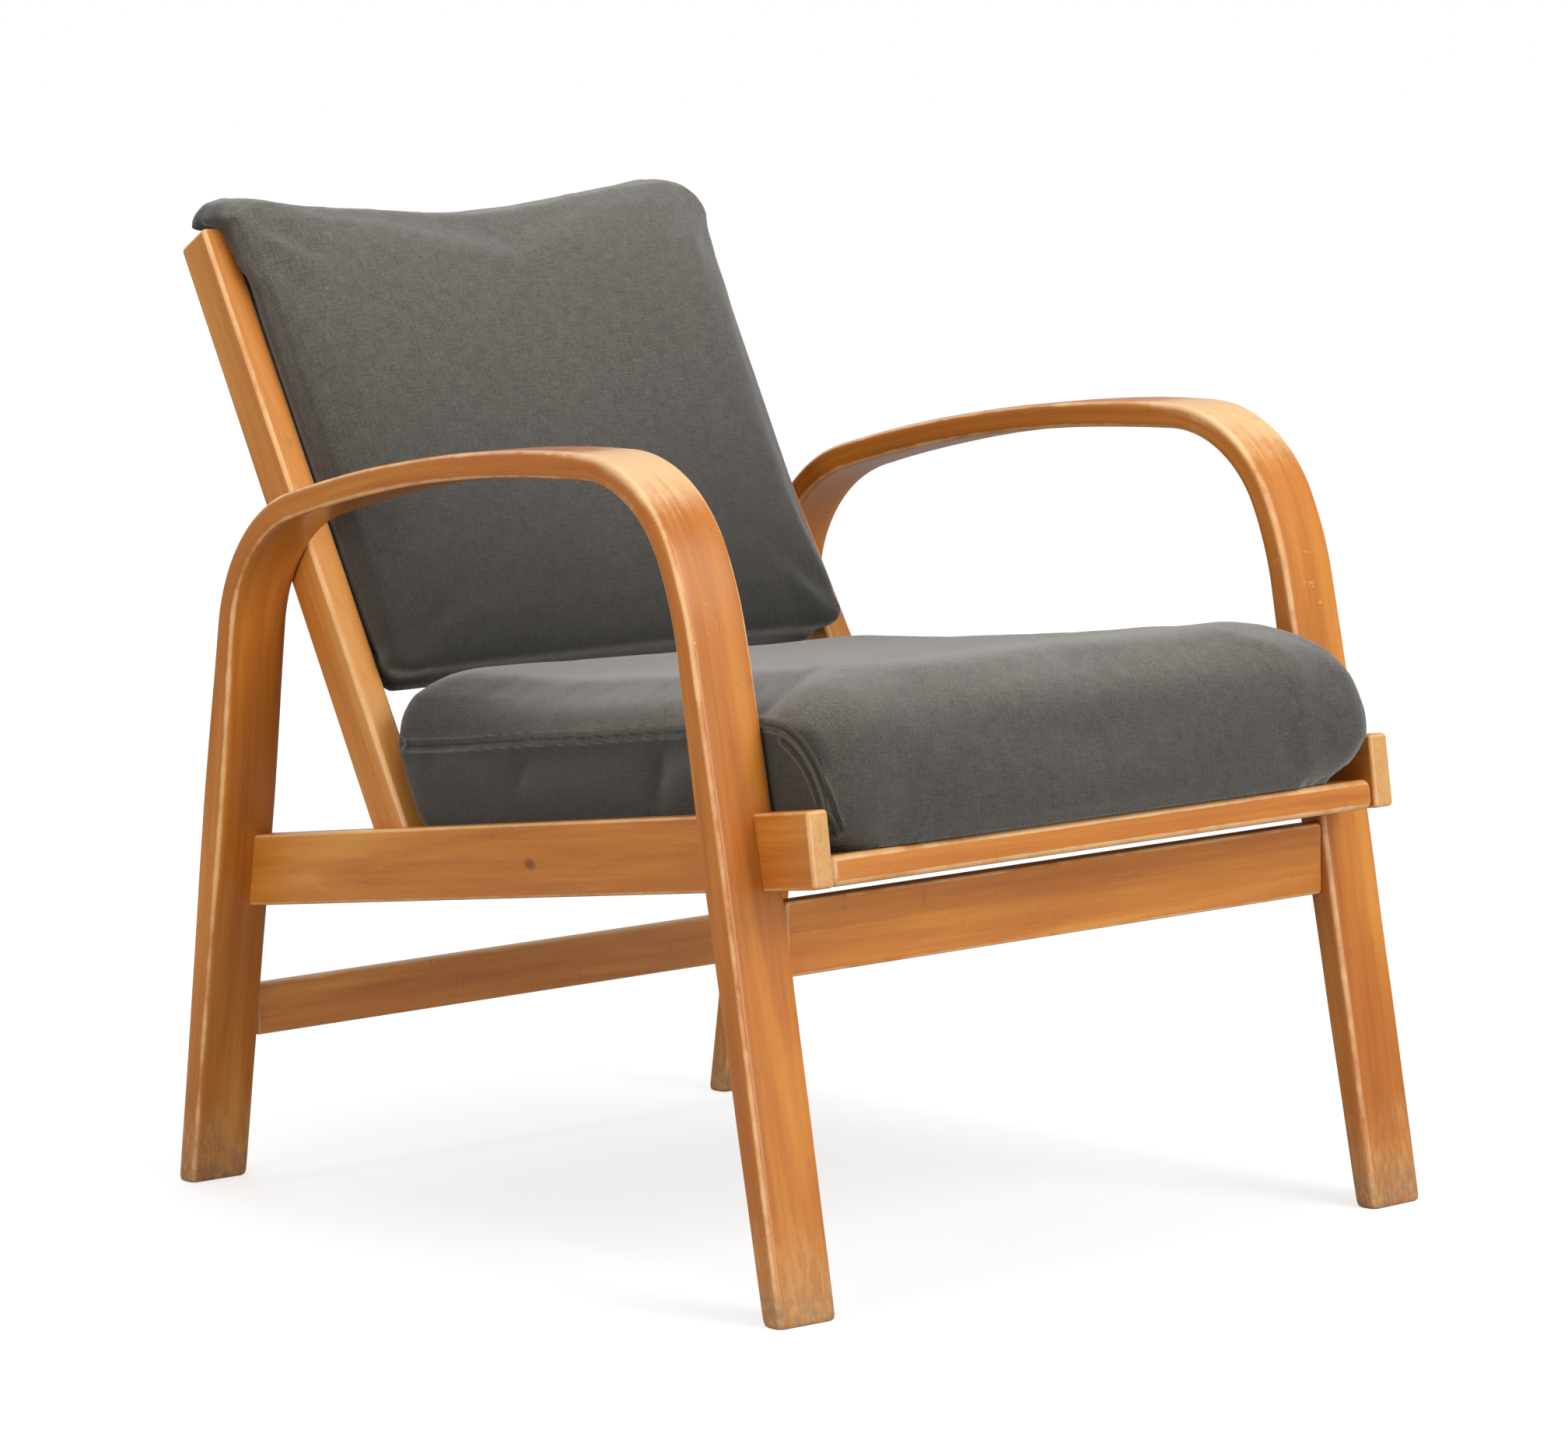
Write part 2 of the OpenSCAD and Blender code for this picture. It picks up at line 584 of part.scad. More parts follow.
cushion_rings = concat(
    [for (q = wall_shares) [for (u = unit_ring) wall_point(u, q * cushion_seam_h)]],
    [for (k = crown_shares) [for (u = unit_ring) crown_point(u, k)]]);
cushion_tip = crown_point([0, 0], 0);
// The same skin drawn in by d, standing on a base lifted by lift
function inset(p, d, lift) = let (w = seat_x(cushion_tip[1], 0), h = cushion_tip[2] - cushion_base)
    [p[0] * (1 - d / w), cushion_tip[1] + (p[1] - cushion_tip[1]) * (1 - d / w),
     cushion_base + lift + (p[2] - cushion_base) * (1 - (d + lift) / h)];
function cushion_skin(d, lift) = [for (r = cushion_rings) [for (p = r) inset(p, d, lift)]];

// Back pad on the back plane: rings stacked from its rear to the front of its crown
function saddle(x_share) = pad_low + pad_mid_h
    + pad_ear_rise * (1 - cos(180 * min(1, x_share / ear_peak_share))) / 2;
// Half outline from the middle of the lower edge to the middle of the top, inset by d
function pad_half_outline(w_low, w_high, w_ear, step_low, step_high, d) = let (
        ear = w_ear - d, low = pad_low + d)
    concat(
        [[0, low], [w_low / 3, low], [w_low * 2 / 3, low], [w_low - d - corner_w, low],
         [w_low - d - corner_w * corner_share, low + corner_rise * corner_share],
         [w_low + (w_high - w_low) * corner_rise / (step_v - pad_low) - d, low + corner_rise]],
        [for (q = side_shares) [w_low + (w_high - w_low) * q - d, pad_low + (step_v - pad_low) * q]],
        [[w_high - d, step_low], [ear, step_high]],
        [for (a = ear_angles) [ear * (1 - (1 - ear_peak_share) * (1 - cos(a))),
                               step_high + (pad_low + pad_mid_h + pad_ear_rise - d - step_high)
                               * sin(a)]],
        [for (q = top_shares) [ear * q, saddle(q) - d]]);
function whole_outline(half) = concat(half,
    [for (i = [len(half) - 2:-1:1]) [-half[i][0], half[i][1]]]);
inner_low_w = back_x(pad_low, pad_rear) - post_clear;
inner_high_w = back_x(step_v, pad_rear) - post_clear;
// Half widths of the pad in front of the posts, across its ears, and at the ears' front
pad_half_w = inner_low_w + pad_lap;
pad_ear_half_w = pad_half_w + pad_ear_reach;
pad_ear_front_w = pad_half_w + pad_ear_front_reach;
function rear_outline(d) = whole_outline(
    pad_half_outline(inner_low_w, inner_high_w, pad_ear_half_w, step_v + d, step_v + d, d));
function front_outline(w_ear, d) = whole_outline(
    pad_half_outline(pad_half_w, pad_half_w - neck_draw, w_ear,
                     step_v - neck_drop, step_v, d));
pad_centre = pad_low + pad_mid_h / 2;
// The underside and the top of the pad slope down toward the front, from the shelf on
function under_lean(v, forward, d) = let (up = (v - pad_low) / pad_mid_h)
    v - max(0, forward - post_clear - d) * tan(back_lean)
        * (under_share + (top_share - under_share) * up);
function pad_ring(outline, forward, d) = [for (p = outline)
    [p[0], -forward, under_lean(p[1], forward, d)]];
function pad_crown_point(p, k, d) = let (x = abs(p[0]) / pad_half_w,
        v = abs(p[1] - pad_centre) / (pad_mid_h / 2), m = max(x, v),
        forward = pad_border + (pad_crown - d) * swell(k * x / m, pad_power) * swell(k * v / m, pad_power))
    [p[0] * k, -forward, under_lean(pad_centre + (p[1] - pad_centre) * k, forward, d)];
function pad_skin(d, rear) = concat(
    [pad_ring(rear_outline(d), -rear, d), pad_ring(rear_outline(d), post_clear + d, d),
     pad_ring(front_outline(pad_ear_half_w, d), post_clear + shelf_slope + d, d),
     pad_ring(front_outline(pad_ear_front_w, d), pad_border, d)],
    [for (k = pad_crown_shares)
     [for (p = front_outline(pad_ear_front_w, d)) pad_crown_point(p, k, d)]]);
function pad_tip(d) = [0, -(pad_border + pad_crown - d),
                       under_lean(pad_centre, pad_border + pad_crown - d, d)];

module bentwood_frame(s) {
    color(wood_colour)
        difference() {
            in_side_plane(s)
                difference() {
                    side_slab(-ribbon_w, ribbon_w, ribbon_outline);
                    side_slab(-ribbon_w - over, rail_t + over, halving_outline);
                }
            at_rail_screws(s) screw_hole(screw_l);
            at_post_screws(s) screw_hole(screw_l);
            at_stretcher_joints() dowel_hole(big_dowel_d, big_dowel_l);
        }
}
module side_rail(s) {
    color(wood_colour)
        difference() {
            in_side_plane(s) side_slab(-ribbon_w, rail_t, rail_outline);
            at_rail_screws(s) screw_hole(screw_l);
            at_post_screws(s) screw_hole(screw_l);
            seat_joint_holes();
        }
}
module left_bentwood_frame() {
    bentwood_frame(-1);
}
module right_bentwood_frame() {
    bentwood_frame(1);
}
module left_side_rail() {
    side_rail(-1);
}
module right_side_rail() {
    side_rail(1);
}
module front_cross_rail() {
    color(wood_colour)
        difference() {
            on_seat() seat_member(cross_recess, front_cross_d, 0, cross_t);
            seat_joint_holes();
        }
}
module rear_cross_rail() {
    color(wood_colour)
        difference() {
            on_seat() seat_member(rear_cross_y, rear_cross_d, 0, cross_t);
            seat_joint_holes();
        }
}
module seat_slats() {
    color(pale_colour)
        difference() {
            on_seat()
                for (i = [0:slat_n - 1])
                    seat_member(slat_y(i), slat_d, slat_z, slat_t);
            seat_joint_holes();
        }
}
module front_stretcher() {
    color(wood_colour)
        difference() {
            cross_board(front_str_y, front_str_t, front_str_z, front_str_h);
            at_stretcher_joints() dowel_hole(big_dowel_d, big_dowel_l);
        }
}
module rear_stretcher() {
    color(wood_colour)
        difference() {
            cross_board(rear_str_y, rear_str_t, rear_str_z, rear_str_h);
            at_stretcher_joints() dowel_hole(big_dowel_d, big_dowel_l);
        }
}
module back_post(s) {
    color(wood_colour)
        difference() {
            in_side_plane(s) side_slab(-ribbon_w - post_w, post_w, post_outline);
            at_post_screws(s) screw_hole(screw_l);
            at_back_joints() dowel_hole(dowel_d, dowel_l);
        }
}
module left_back_post() {
    back_post(-1);
}
module right_back_post() {
    back_post(1);
}
module bottom_back_rail() {
    color(wood_colour) back_rail(0);
}
module middle_back_rail() {
    color(wood_colour) back_rail(1);
}
module top_back_rail() {
    color(wood_colour) back_rail(2);
}
module pad_plate(rear, t, d) {
    on_back()
        translate([0, rear, 0])
            rotate([90, 0, 0])
                linear_extrude(t)
                    polygon(rear_outline(d));
}
inside_pad = cloth_t + soft_gap;
board_rear = pad_rear - cloth_t;
core_rear = board_rear - board_t;
module back_pad_board() {
    color(pale_colour)
        difference() {
            pad_plate(board_rear, board_t, inside_pad);
            at_pad_screws() screw_hole(pad_screw_l);
        }
}
module back_pad_core() {
    color(foam_colour)
        on_back()
            ring_solid(pad_skin(inside_pad, core_rear),
                       [0, core_rear, pad_centre], pad_tip(inside_pad));
}
module back_pad_cover() {
    color(cloth_colour)
        on_back()
            ring_shell(pad_skin(0, pad_rear - cloth_t), pad_tip(0),
                       pad_skin(cloth_t, pad_rear - cloth_t), pad_tip(cloth_t));
}
module back_pad_rear_cloth() {
    color(cloth_colour)
        difference() {
            pad_plate(pad_rear, cloth_t, 0);
            at_pad_screws() screw_hole(pad_screw_l);
        }
}
module seat_cushion_cover() {
    color(cloth_colour)
        on_seat()
            ring_shell(cushion_skin(0, cloth_t), inset(cushion_tip, 0, cloth_t),
                       cushion_skin(cloth_t, cloth_t), inset(cushion_tip, cloth_t, cloth_t));
}
module seat_cushion_core() {
    color(foam_colour)
        on_seat()
            ring_solid(cushion_skin(inside_pad, cloth_t),
                       [0, cushion_tip[1], cushion_base + cloth_t],
                       inset(cushion_tip, inside_pad, cloth_t));
}
module seat_cushion_base_cloth() {
    color(cloth_colour)
        on_seat()
            translate([0, 0, cushion_base])
                linear_extrude(cloth_t)
                    polygon([for (p = cushion_rings[0]) [p[0], p[1]]]);
}
module side_rail_screws() {
    color(steel_colour)
        for (s = [-1, 1])
            at_rail_screws(s) screw(screw_l);
}
module post_screws() {
    color(steel_colour)
        for (s = [-1, 1])
            at_post_screws(s) screw(screw_l);
}
module back_pad_screws() {
    color(steel_colour)
        at_pad_screws() screw(pad_screw_l);
}
module stretcher_dowels() {
    color(pale_colour)
        at_stretcher_joints() dowel(big_dowel_d, big_dowel_l);
}
module cross_rail_dowels() {
    color(pale_colour)
        at_seat_joints(cross_dowels) dowel(dowel_d, dowel_l);
}
module slat_dowels() {
    color(pale_colour)
        at_seat_joints(slat_dowel_spots) dowel(slat_dowel_d, dowel_l);
}
module back_rail_dowels() {
    color(pale_colour)
        at_back_joints() dowel(dowel_d, dowel_l);
}

left_bentwood_frame();
right_bentwood_frame();
left_side_rail();
right_side_rail();
front_cross_rail();
rear_cross_rail();
seat_slats();
front_stretcher();
rear_stretcher();
left_back_post();
right_back_post();
top_back_rail();
middle_back_rail();
bottom_back_rail();
back_pad_board();
back_pad_core();
back_pad_cover();
back_pad_rear_cloth();
seat_cushion_cover();
seat_cushion_core();
seat_cushion_base_cloth();
side_rail_screws();
post_screws();
back_pad_screws();
stretcher_dowels();
cross_rail_dowels();
slat_dowels();
back_rail_dowels();
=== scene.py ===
import math

import bmesh
import bpy
import numpy as np
from mathutils import Matrix, Vector, kdtree


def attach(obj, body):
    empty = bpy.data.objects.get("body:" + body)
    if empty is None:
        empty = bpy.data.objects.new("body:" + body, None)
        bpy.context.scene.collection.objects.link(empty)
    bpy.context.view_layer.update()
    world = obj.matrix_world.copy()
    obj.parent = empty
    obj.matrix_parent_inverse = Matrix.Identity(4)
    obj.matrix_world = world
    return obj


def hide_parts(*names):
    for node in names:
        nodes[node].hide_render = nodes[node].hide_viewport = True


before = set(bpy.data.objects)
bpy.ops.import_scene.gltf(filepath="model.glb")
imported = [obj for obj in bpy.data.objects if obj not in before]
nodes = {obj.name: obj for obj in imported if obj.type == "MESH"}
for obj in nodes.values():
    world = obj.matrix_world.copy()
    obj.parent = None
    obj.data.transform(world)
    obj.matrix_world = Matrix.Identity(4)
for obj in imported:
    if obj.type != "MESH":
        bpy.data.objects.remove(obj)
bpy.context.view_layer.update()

scene = bpy.context.scene
for spare in ("Cube", "Light", "Camera"):
    if spare in bpy.data.objects:
        bpy.data.objects.remove(bpy.data.objects[spare])
rad = math.radians
BODY, CUSHION = "chair_frame", "seat_cushion"


# Camera at the photograph's viewpoint
CAMERA_PLACE = (-3.09719, -3.66095, 0.952)
CAMERA_TURN = (rad(-40.463), rad(7.0186), rad(-1.0948))
SENSOR, LENS = 36, 148.13


def make_camera():
    yaw, pitch, roll = CAMERA_TURN
    look = Vector((-math.sin(yaw) * math.cos(pitch), math.cos(yaw) * math.cos(pitch),
                   -math.sin(pitch)))
    level = Vector((math.cos(yaw), math.sin(yaw), 0))
    up = level.cross(look)
    right = level * math.cos(roll) + up * math.sin(roll)
    top = up * math.cos(roll) - level * math.sin(roll)
    data = bpy.data.cameras.new("photo_camera")
    data.sensor_width, data.lens = SENSOR, LENS
    data.clip_start, data.clip_end = 0.1, 100
    camera = bpy.data.objects.new("photo_camera", data)
    turn = Matrix((right, top, -look)).transposed().to_4x4()
    camera.matrix_world = Matrix.Translation(CAMERA_PLACE) @ turn
    scene.collection.objects.link(camera)
    scene.camera = camera


make_camera()
scene.view_settings.view_transform = "Standard"
scene.view_settings.look = "None"


# Shader arithmetic
class Val:
    """A float socket that takes part in sums as a number does."""

    def __init__(self, tree, out):
        self.tree, self.out = tree, out

    def op(self, kind, *others):
        node = self.tree.nodes.new("ShaderNodeMath")
        node.operation = kind
        for i, a in enumerate((self, *others)):
            if isinstance(a, Val):
                self.tree.links.new(a.out, node.inputs[i])
            else:
                node.inputs[i].default_value = a
        return Val(self.tree, node.outputs[0])

    def __add__(self, o):
        return self.op("ADD", o)

    def __sub__(self, o):
        return self.op("SUBTRACT", o)

    def __mul__(self, o):
        return self.op("MULTIPLY", o)

    def ease(self, low, high):
        """0 below low and 1 above high, with a smooth step between."""
        node = self.tree.nodes.new("ShaderNodeMapRange")
        node.interpolation_type = "SMOOTHSTEP"
        self.tree.links.new(self.out, node.inputs["Value"])
        flip = low > high
        node.inputs["From Min"].default_value = min(low, high)
        node.inputs["From Max"].default_value = max(low, high)
        node.inputs["To Min"].default_value = 1.0 if flip else 0.0
        node.inputs["To Max"].default_value = 0.0 if flip else 1.0
        return Val(self.tree, node.outputs["Result"])


def stretched(tree, vector, scale, offset=(0, 0, 0)):
    node = tree.nodes.new("ShaderNodeVectorMath")
    node.operation = "MULTIPLY_ADD"
    tree.links.new(vector, node.inputs[0])
    node.inputs[1].default_value = scale
    node.inputs[2].default_value = offset
    return node.outputs[0]


def noise(tree, vector, scale, detail=2.0, rough=0.5, offset=(0, 0, 0), twist=0.0):
    node = tree.nodes.new("ShaderNodeTexNoise")
    tree.links.new(stretched(tree, vector, scale, offset), node.inputs["Vector"])
    node.inputs["Scale"].default_value = 1.0
    node.inputs["Detail"].default_value = detail
    node.inputs["Roughness"].default_value = rough
    node.inputs["Distortion"].default_value = twist
    return Val(tree, node.outputs["Fac"])


def spots(tree, vector, scale, offset=(0, 0, 0), ragged=0.0):
    """Distance to the nearest of many scattered points, with outlines frayed by ragged."""
    node = tree.nodes.new("ShaderNodeTexVoronoi")
    place = stretched(tree, vector, scale, offset)
    if ragged:
        blur = tree.nodes.new("ShaderNodeTexNoise")
        tree.links.new(place, blur.inputs["Vector"])
        blur.inputs["Scale"].default_value = 2.2
        shift = stretched(tree, blur.outputs["Color"], (ragged, ragged, ragged))
        total = tree.nodes.new("ShaderNodeVectorMath")
        tree.links.new(place, total.inputs[0])
        tree.links.new(shift, total.inputs[1])
        place = total.outputs[0]
    tree.links.new(place, node.inputs["Vector"])
    node.inputs["Scale"].default_value = 1.0
    return Val(tree, node.outputs["Distance"])


def blended(tree, share, first, second):
    """Mix of two colours, each a constant or a socket."""
    node = tree.nodes.new("ShaderNodeMix")
    node.data_type = "RGBA"
    tree.links.new(share.out, node.inputs[0])
    for value, socket in ((first, node.inputs[6]), (second, node.inputs[7])):
        if isinstance(value, tuple):
            socket.default_value = (*value, 1)
        else:
            tree.links.new(value, socket)
    return node.outputs[2]


def split(tree, vector):
    node = tree.nodes.new("ShaderNodeSeparateXYZ")
    tree.links.new(vector, node.inputs[0])
    return [Val(tree, o) for o in node.outputs]


def joined(tree, x, y, z):
    node = tree.nodes.new("ShaderNodeCombineXYZ")
    for v, socket in zip((x, y, z), node.inputs):
        tree.links.new(v.out, socket)
    return node.outputs[0]


def attribute(tree, name):
    node = tree.nodes.new("ShaderNodeAttribute")
    node.attribute_name = name
    return node


def share_of(tree, name):
    """A float attribute of the mesh, 0 where a piece doesn't have it."""
    return Val(tree, attribute(tree, name).outputs["Fac"])


def object_place(tree):
    return tree.nodes.new("ShaderNodeTexCoord").outputs["Object"]


def bump(tree, height, strength, distance):
    node = tree.nodes.new("ShaderNodeBump")
    node.inputs["Strength"].default_value = strength
    node.inputs["Distance"].default_value = distance
    tree.links.new(height.out, node.inputs["Height"])
    return node.outputs[0]


def new_material(name):
    material = bpy.data.materials.new(name)
    material.use_nodes = True
    tree = material.node_tree
    return material, tree, tree.nodes["Principled BSDF"]


def srgb(r, g, b):
    return tuple(((c / 255 + 0.055) / 1.055) ** 2.4 for c in (r, g, b))


def shade(colour, share):
    return tuple(k * share for k in colour)


# Varnished beech: grain runs along the first component of the piece's grain attribute
KNOT = (-0.2707, -0.0635, 0.2847)
KNOT_SCALE = (160, 110, 170)
KNOT_BROWN = srgb(112, 60, 22)
WORN_EDGE = srgb(238, 196, 142)
END_GRAIN = srgb(210, 170, 112)
THIN_VARNISH = srgb(234, 196, 146)
NICKED = srgb(240, 200, 148)
SCUFFED = srgb(120, 70, 34)
BARE_FOOT = srgb(202, 156, 98)
FLOOR_DIRT = srgb(128, 108, 88)


def knot_share(tree, place):
    frayed = noise(tree, place, (260, 260, 260), 2, 0.6) * 0.3
    gap = tree.nodes.new("ShaderNodeVectorMath")
    gap.operation = "DISTANCE"
    tree.links.new(stretched(tree, place, KNOT_SCALE), gap.inputs[0])
    gap.inputs[1].default_value = [k * scale for k, scale in zip(KNOT, KNOT_SCALE)]
    return (Val(tree, gap.outputs["Value"]) + frayed).ease(1.15, 0.45)


def beech(name, dark, middle, light, seed, wear=1.0, gloss=0.3):
    material, tree, shader = new_material(name)
    grain = attribute(tree, "grain").outputs["Vector"]
    place = object_place(tree)
    z = split(tree, place)[2]
    off = (seed * 3.1, seed * 1.7, seed * 2.3)
    broad = noise(tree, grain, (2.4, 21, 21), 3, 0.55, off, 0.6)
    streak = noise(tree, grain, (7, 240, 240), 4, 0.62, off)
    pore = noise(tree, grain, (55, 1500, 1500), 2, 0.5, off)
    fleck = spots(tree, grain, (130, 620, 620), off).ease(0.17, 0.08)
    ring = noise(tree, grain, (1.3, 62, 62), 1, 0.5, off, 1.2)
    tone = (broad.ease(0.28, 0.72) * 0.55 + streak.ease(0.25, 0.75) * 0.3
            + ring.ease(0.42, 0.58) * 0.15)
    colour = blended(tree, tone, dark, middle)
    colour = blended(tree, broad.ease(0.5, 0.8) * 0.6 + pore.ease(0.5, 0.8) * 0.18, colour, light)
    colour = blended(tree, fleck * 0.35, colour, shade(dark, 0.62))
    point = Val(tree, tree.nodes.new("ShaderNodeNewGeometry").outputs["Pointiness"])
    ragged = noise(tree, place, (38, 38, 38), 4, 0.65, off)
    patch = noise(tree, place, (7, 7, 7), 2, 0.5, off)
    rub = share_of(tree, "arris") + (ragged - 0.5) * 0.9 + (patch - 0.5) * 0.8
    worn = (rub.ease(0.62, 1.15) + point.ease(0.56, 0.72) * 0.1) * (0.75 * wear)
    colour = blended(tree, worn, colour, WORN_EDGE)
    # A small knot in the near plank
    colour = blended(tree, knot_share(tree, place) * 0.75, colour, KNOT_BROWN)
    # End grain, dry and pale
    end = share_of(tree, "end_grain").ease(0.6, 0.9)
    dots = noise(tree, place, (420, 420, 420), 2, 0.5, off).ease(0.35, 0.7)
    colour = blended(tree, end * (dots * 0.25 + 0.5), colour, END_GRAIN)
    # Crest of the arm where hands have rubbed the varnish thin
    rubbed = (share_of(tree, "rubbed") + (ragged - 0.5) * 0.5
              + (streak - 0.5) * 0.5 + (patch - 0.5) * 0.5)
    thin = rubbed.ease(0.2, 0.7) * 0.76
    colour = blended(tree, thin, colour, THIN_VARNISH)
    # Nicks down to bare wood, and dull scuffs
    nick = spots(tree, place, (34, 60, 90), off, 1.4).ease(0.1, 0.03) * patch.ease(0.58, 0.66)
    colour = blended(tree, nick * (0.4 * wear), colour, NICKED)
    scuff = noise(tree, place, (90, 90, 30), 3, 0.6, (off[2], 0, off[0])).ease(0.64, 0.74)
    colour = blended(tree, scuff * 0.22, colour, SCUFFED)
    # Feet: varnish rubbed off in grains, grey dirt and bruised ends near the floor
    grainy = noise(tree, grain, (60, 300, 300), 3, 0.7, off).ease(0.4, 0.62)
    bare = (z + (ragged - 0.5) * 0.09).ease(0.085, 0.015) * (grainy * 0.6 + 0.25)
    colour = blended(tree, bare * 0.8, colour, BARE_FOOT)
    low = (z + (ragged - 0.5) * 0.03).ease(0.045, 0.0)
    dirt = low * noise(tree, place, (120, 120, 120), 3, 0.7, off).ease(0.3, 0.7)
    colour = blended(tree, dirt * 0.75, colour, FLOOR_DIRT)
    tree.links.new(colour, shader.inputs["Base Color"])
    dull = (streak * 0.1 + worn * 0.25 + thin * 0.2 + scuff * 0.1 + dirt * 0.3) + gloss
    tree.links.new(dull.out, shader.inputs["Roughness"])
    height = streak * 0.35 + pore * 0.35 + ragged * 0.3 - nick * 0.8 - fleck * 0.12
    tree.links.new(bump(tree, height, 0.35, 0.0004), shader.inputs["Normal"])
    shader.inputs["Coat Weight"].default_value = 0.22
    shader.inputs["Coat Roughness"].default_value = 0.22
    shader.inputs["Specular IOR Level"].default_value = 0.45
    return material


# Heathered wool: a plain weave laid on each face by the way it points
YARN_PITCH = 0.0026


def wool(name, dark, middle, light, turn):
    """turn is the tilt of the cushion's main face in the y-z plane."""
    material, tree, shader = new_material(name)
    coordinate = tree.nodes.new("ShaderNodeTexCoord")
    place = coordinate.outputs["Object"]
    x, y, z = split(tree, place)
    c, s = math.cos(turn), math.sin(turn)
    along, deep = y * s + z * c, y * c - z * s
    nx, ny, nz = split(tree, coordinate.outputs["Normal"])
    facing = (ny * c - nz * s).op("ABSOLUTE")
    sideways = nx.op("ABSOLUTE")
    side = (sideways - facing).op("GREATER_THAN", 0.0)
    u = x + (deep - x) * side
    above = (ny * s + nz * c).op("ABSOLUTE")
    cap = (above - facing).op("GREATER_THAN", 0.0) * (above - sideways).op("GREATER_THAN", 0.0)
    v = along + (deep - along) * cap
    u = u + (x - u) * cap
    yarn = 2 * math.pi / YARN_PITCH
    uneven = noise(tree, place, (60, 60, 60), 2, 0.5)
    weave = (u * yarn + uneven * 2).op("SINE") * (v * yarn + uneven * 2).op("SINE")
    flat = joined(tree, u, v, side)
    slub_u = noise(tree, flat, (70, 820, 1), 2, 0.6)
    slub_v = noise(tree, flat, (820, 70, 1), 2, 0.6, (5, 3, 1))
    heather = noise(tree, place, (620, 620, 620), 2, 0.6)
    melange = noise(tree, place, (95, 95, 95), 3, 0.6)
    cloud = noise(tree, place, (9, 9, 9), 2, 0.5)
    tone = (heather.ease(0.3, 0.7) * 0.34 + slub_u.ease(0.3, 0.7) * 0.22
            + slub_v.ease(0.3, 0.7) * 0.2 + melange.ease(0.25, 0.75) * 0.16
            + cloud.ease(0.25, 0.75) * 0.12)
    colour = blended(tree, tone, dark, middle)
    hair = spots(tree, flat, (900, 900, 1)).ease(0.28, 0.12) * slub_v.ease(0.5, 0.75)
    colour = blended(tree, hair * 0.5, colour, light)
    # Painted shade where the cloth faces away from the light or lies low, under or behind other
    # parts; painted shade in the stitched grooves; paler lips of seams; then the weave
    painted_shade = (share_of(tree, "painted_shade") + (cloud - 0.5) * 0.25).ease(0.0, 1.0)
    colour = blended(tree, painted_shade * 0.8, colour, shade(dark, 0.3))
    # Painted shade in the seam grooves
    seam = share_of(tree, "seam").ease(0.35, 1.0)
    colour = blended(tree, seam * 0.75, colour, shade(dark, 0.35))
    ridge = share_of(tree, "ridge").ease(0.5, 1.0)
    colour = blended(tree, ridge * 0.22, colour, light)
    colour = blended(tree, (weave * 0.5 + 0.5) * 0.22, colour, shade(dark, 0.6))
    tree.links.new(colour, shader.inputs["Base Color"])
    tree.links.new((tone * 0.12 + 0.8).out, shader.inputs["Roughness"])
    height = weave * 0.45 + slub_u * 0.5 + slub_v * 0.5 + heather * 0.4
    tree.links.new(bump(tree, height, 0.55, 0.0007), shader.inputs["Normal"])
    shader.inputs["Sheen Weight"].default_value = 0.5
    shader.inputs["Sheen Roughness"].default_value = 0.4
    shader.inputs["Specular IOR Level"].default_value = 0.2
    return material


def brushed_steel(name):
    material, tree, shader = new_material(name)
    place = object_place(tree)
    turned = noise(tree, place, (900, 900, 900), 3, 0.6)
    stain = noise(tree, place, (160, 160, 160), 3, 0.6)
    colour = blended(tree, stain.ease(0.4, 0.7), srgb(186, 180, 168), srgb(128, 112, 92))
    tree.links.new(colour, shader.inputs["Base Color"])
    tree.links.new((turned * 0.25 + 0.25).out, shader.inputs["Roughness"])
    tree.links.new(bump(tree, turned, 0.3, 0.0002), shader.inputs["Normal"])
    shader.inputs["Metallic"].default_value = 1.0
    return material


# Each wood as its dark, middle and light tone: ribbons, rails, rear stretcher, posts, slats
HONEY = (srgb(162, 86, 24), srgb(201, 126, 42), srgb(219, 152, 66))
DEEP = (srgb(170, 94, 32), srgb(208, 135, 52), srgb(226, 162, 76))
DARK = (srgb(178, 100, 42), srgb(222, 146, 68), srgb(234, 170, 90))
POST = (srgb(180, 106, 40), srgb(214, 146, 66), srgb(230, 172, 102))
SLAT = (srgb(186, 122, 58), srgb(214, 156, 86), srgb(230, 182, 116))
ribbon_wood = beech("beech_ribbon", *HONEY, 1.0)
rail_wood = beech("beech_rail", *DEEP, 4.0, 0.8)
post_wood = beech("beech_post", *POST, 7.0, 0.9)
cross_wood = beech("beech_cross", *DEEP, 11.0, 1.0)
rear_wood = beech("beech_rear", *DARK, 13.0, 0.6)
slat_wood = beech("beech_slat", *SLAT, 15.0, 0.5, 0.5)
GREY = (srgb(60, 58, 54), srgb(122, 118, 111), srgb(156, 152, 144))
TILT, LEAN = rad(7), rad(29.4)
seat_wool = wool("wool_seat", *GREY, TILT - rad(90))
back_wool = wool("wool_back", *GREY, LEAN)
steel = brushed_steel("steel_screw")


# Mesh helpers
def ramp(values, low, high):
    """0 at low and 1 at high, straight between them; high may be the lesser."""
    return np.clip((values - low) / (high - low), 0, 1)


def hump(values, middle, spread):
    return np.exp(-((values - middle) / spread) ** 2)


def add_object(name, mesh, material, body):
    obj = bpy.data.objects.new(name, mesh)
    scene.collection.objects.link(obj)
    mesh.materials.clear()
    mesh.materials.append(material)
    if body:
        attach(obj, body)
    return obj


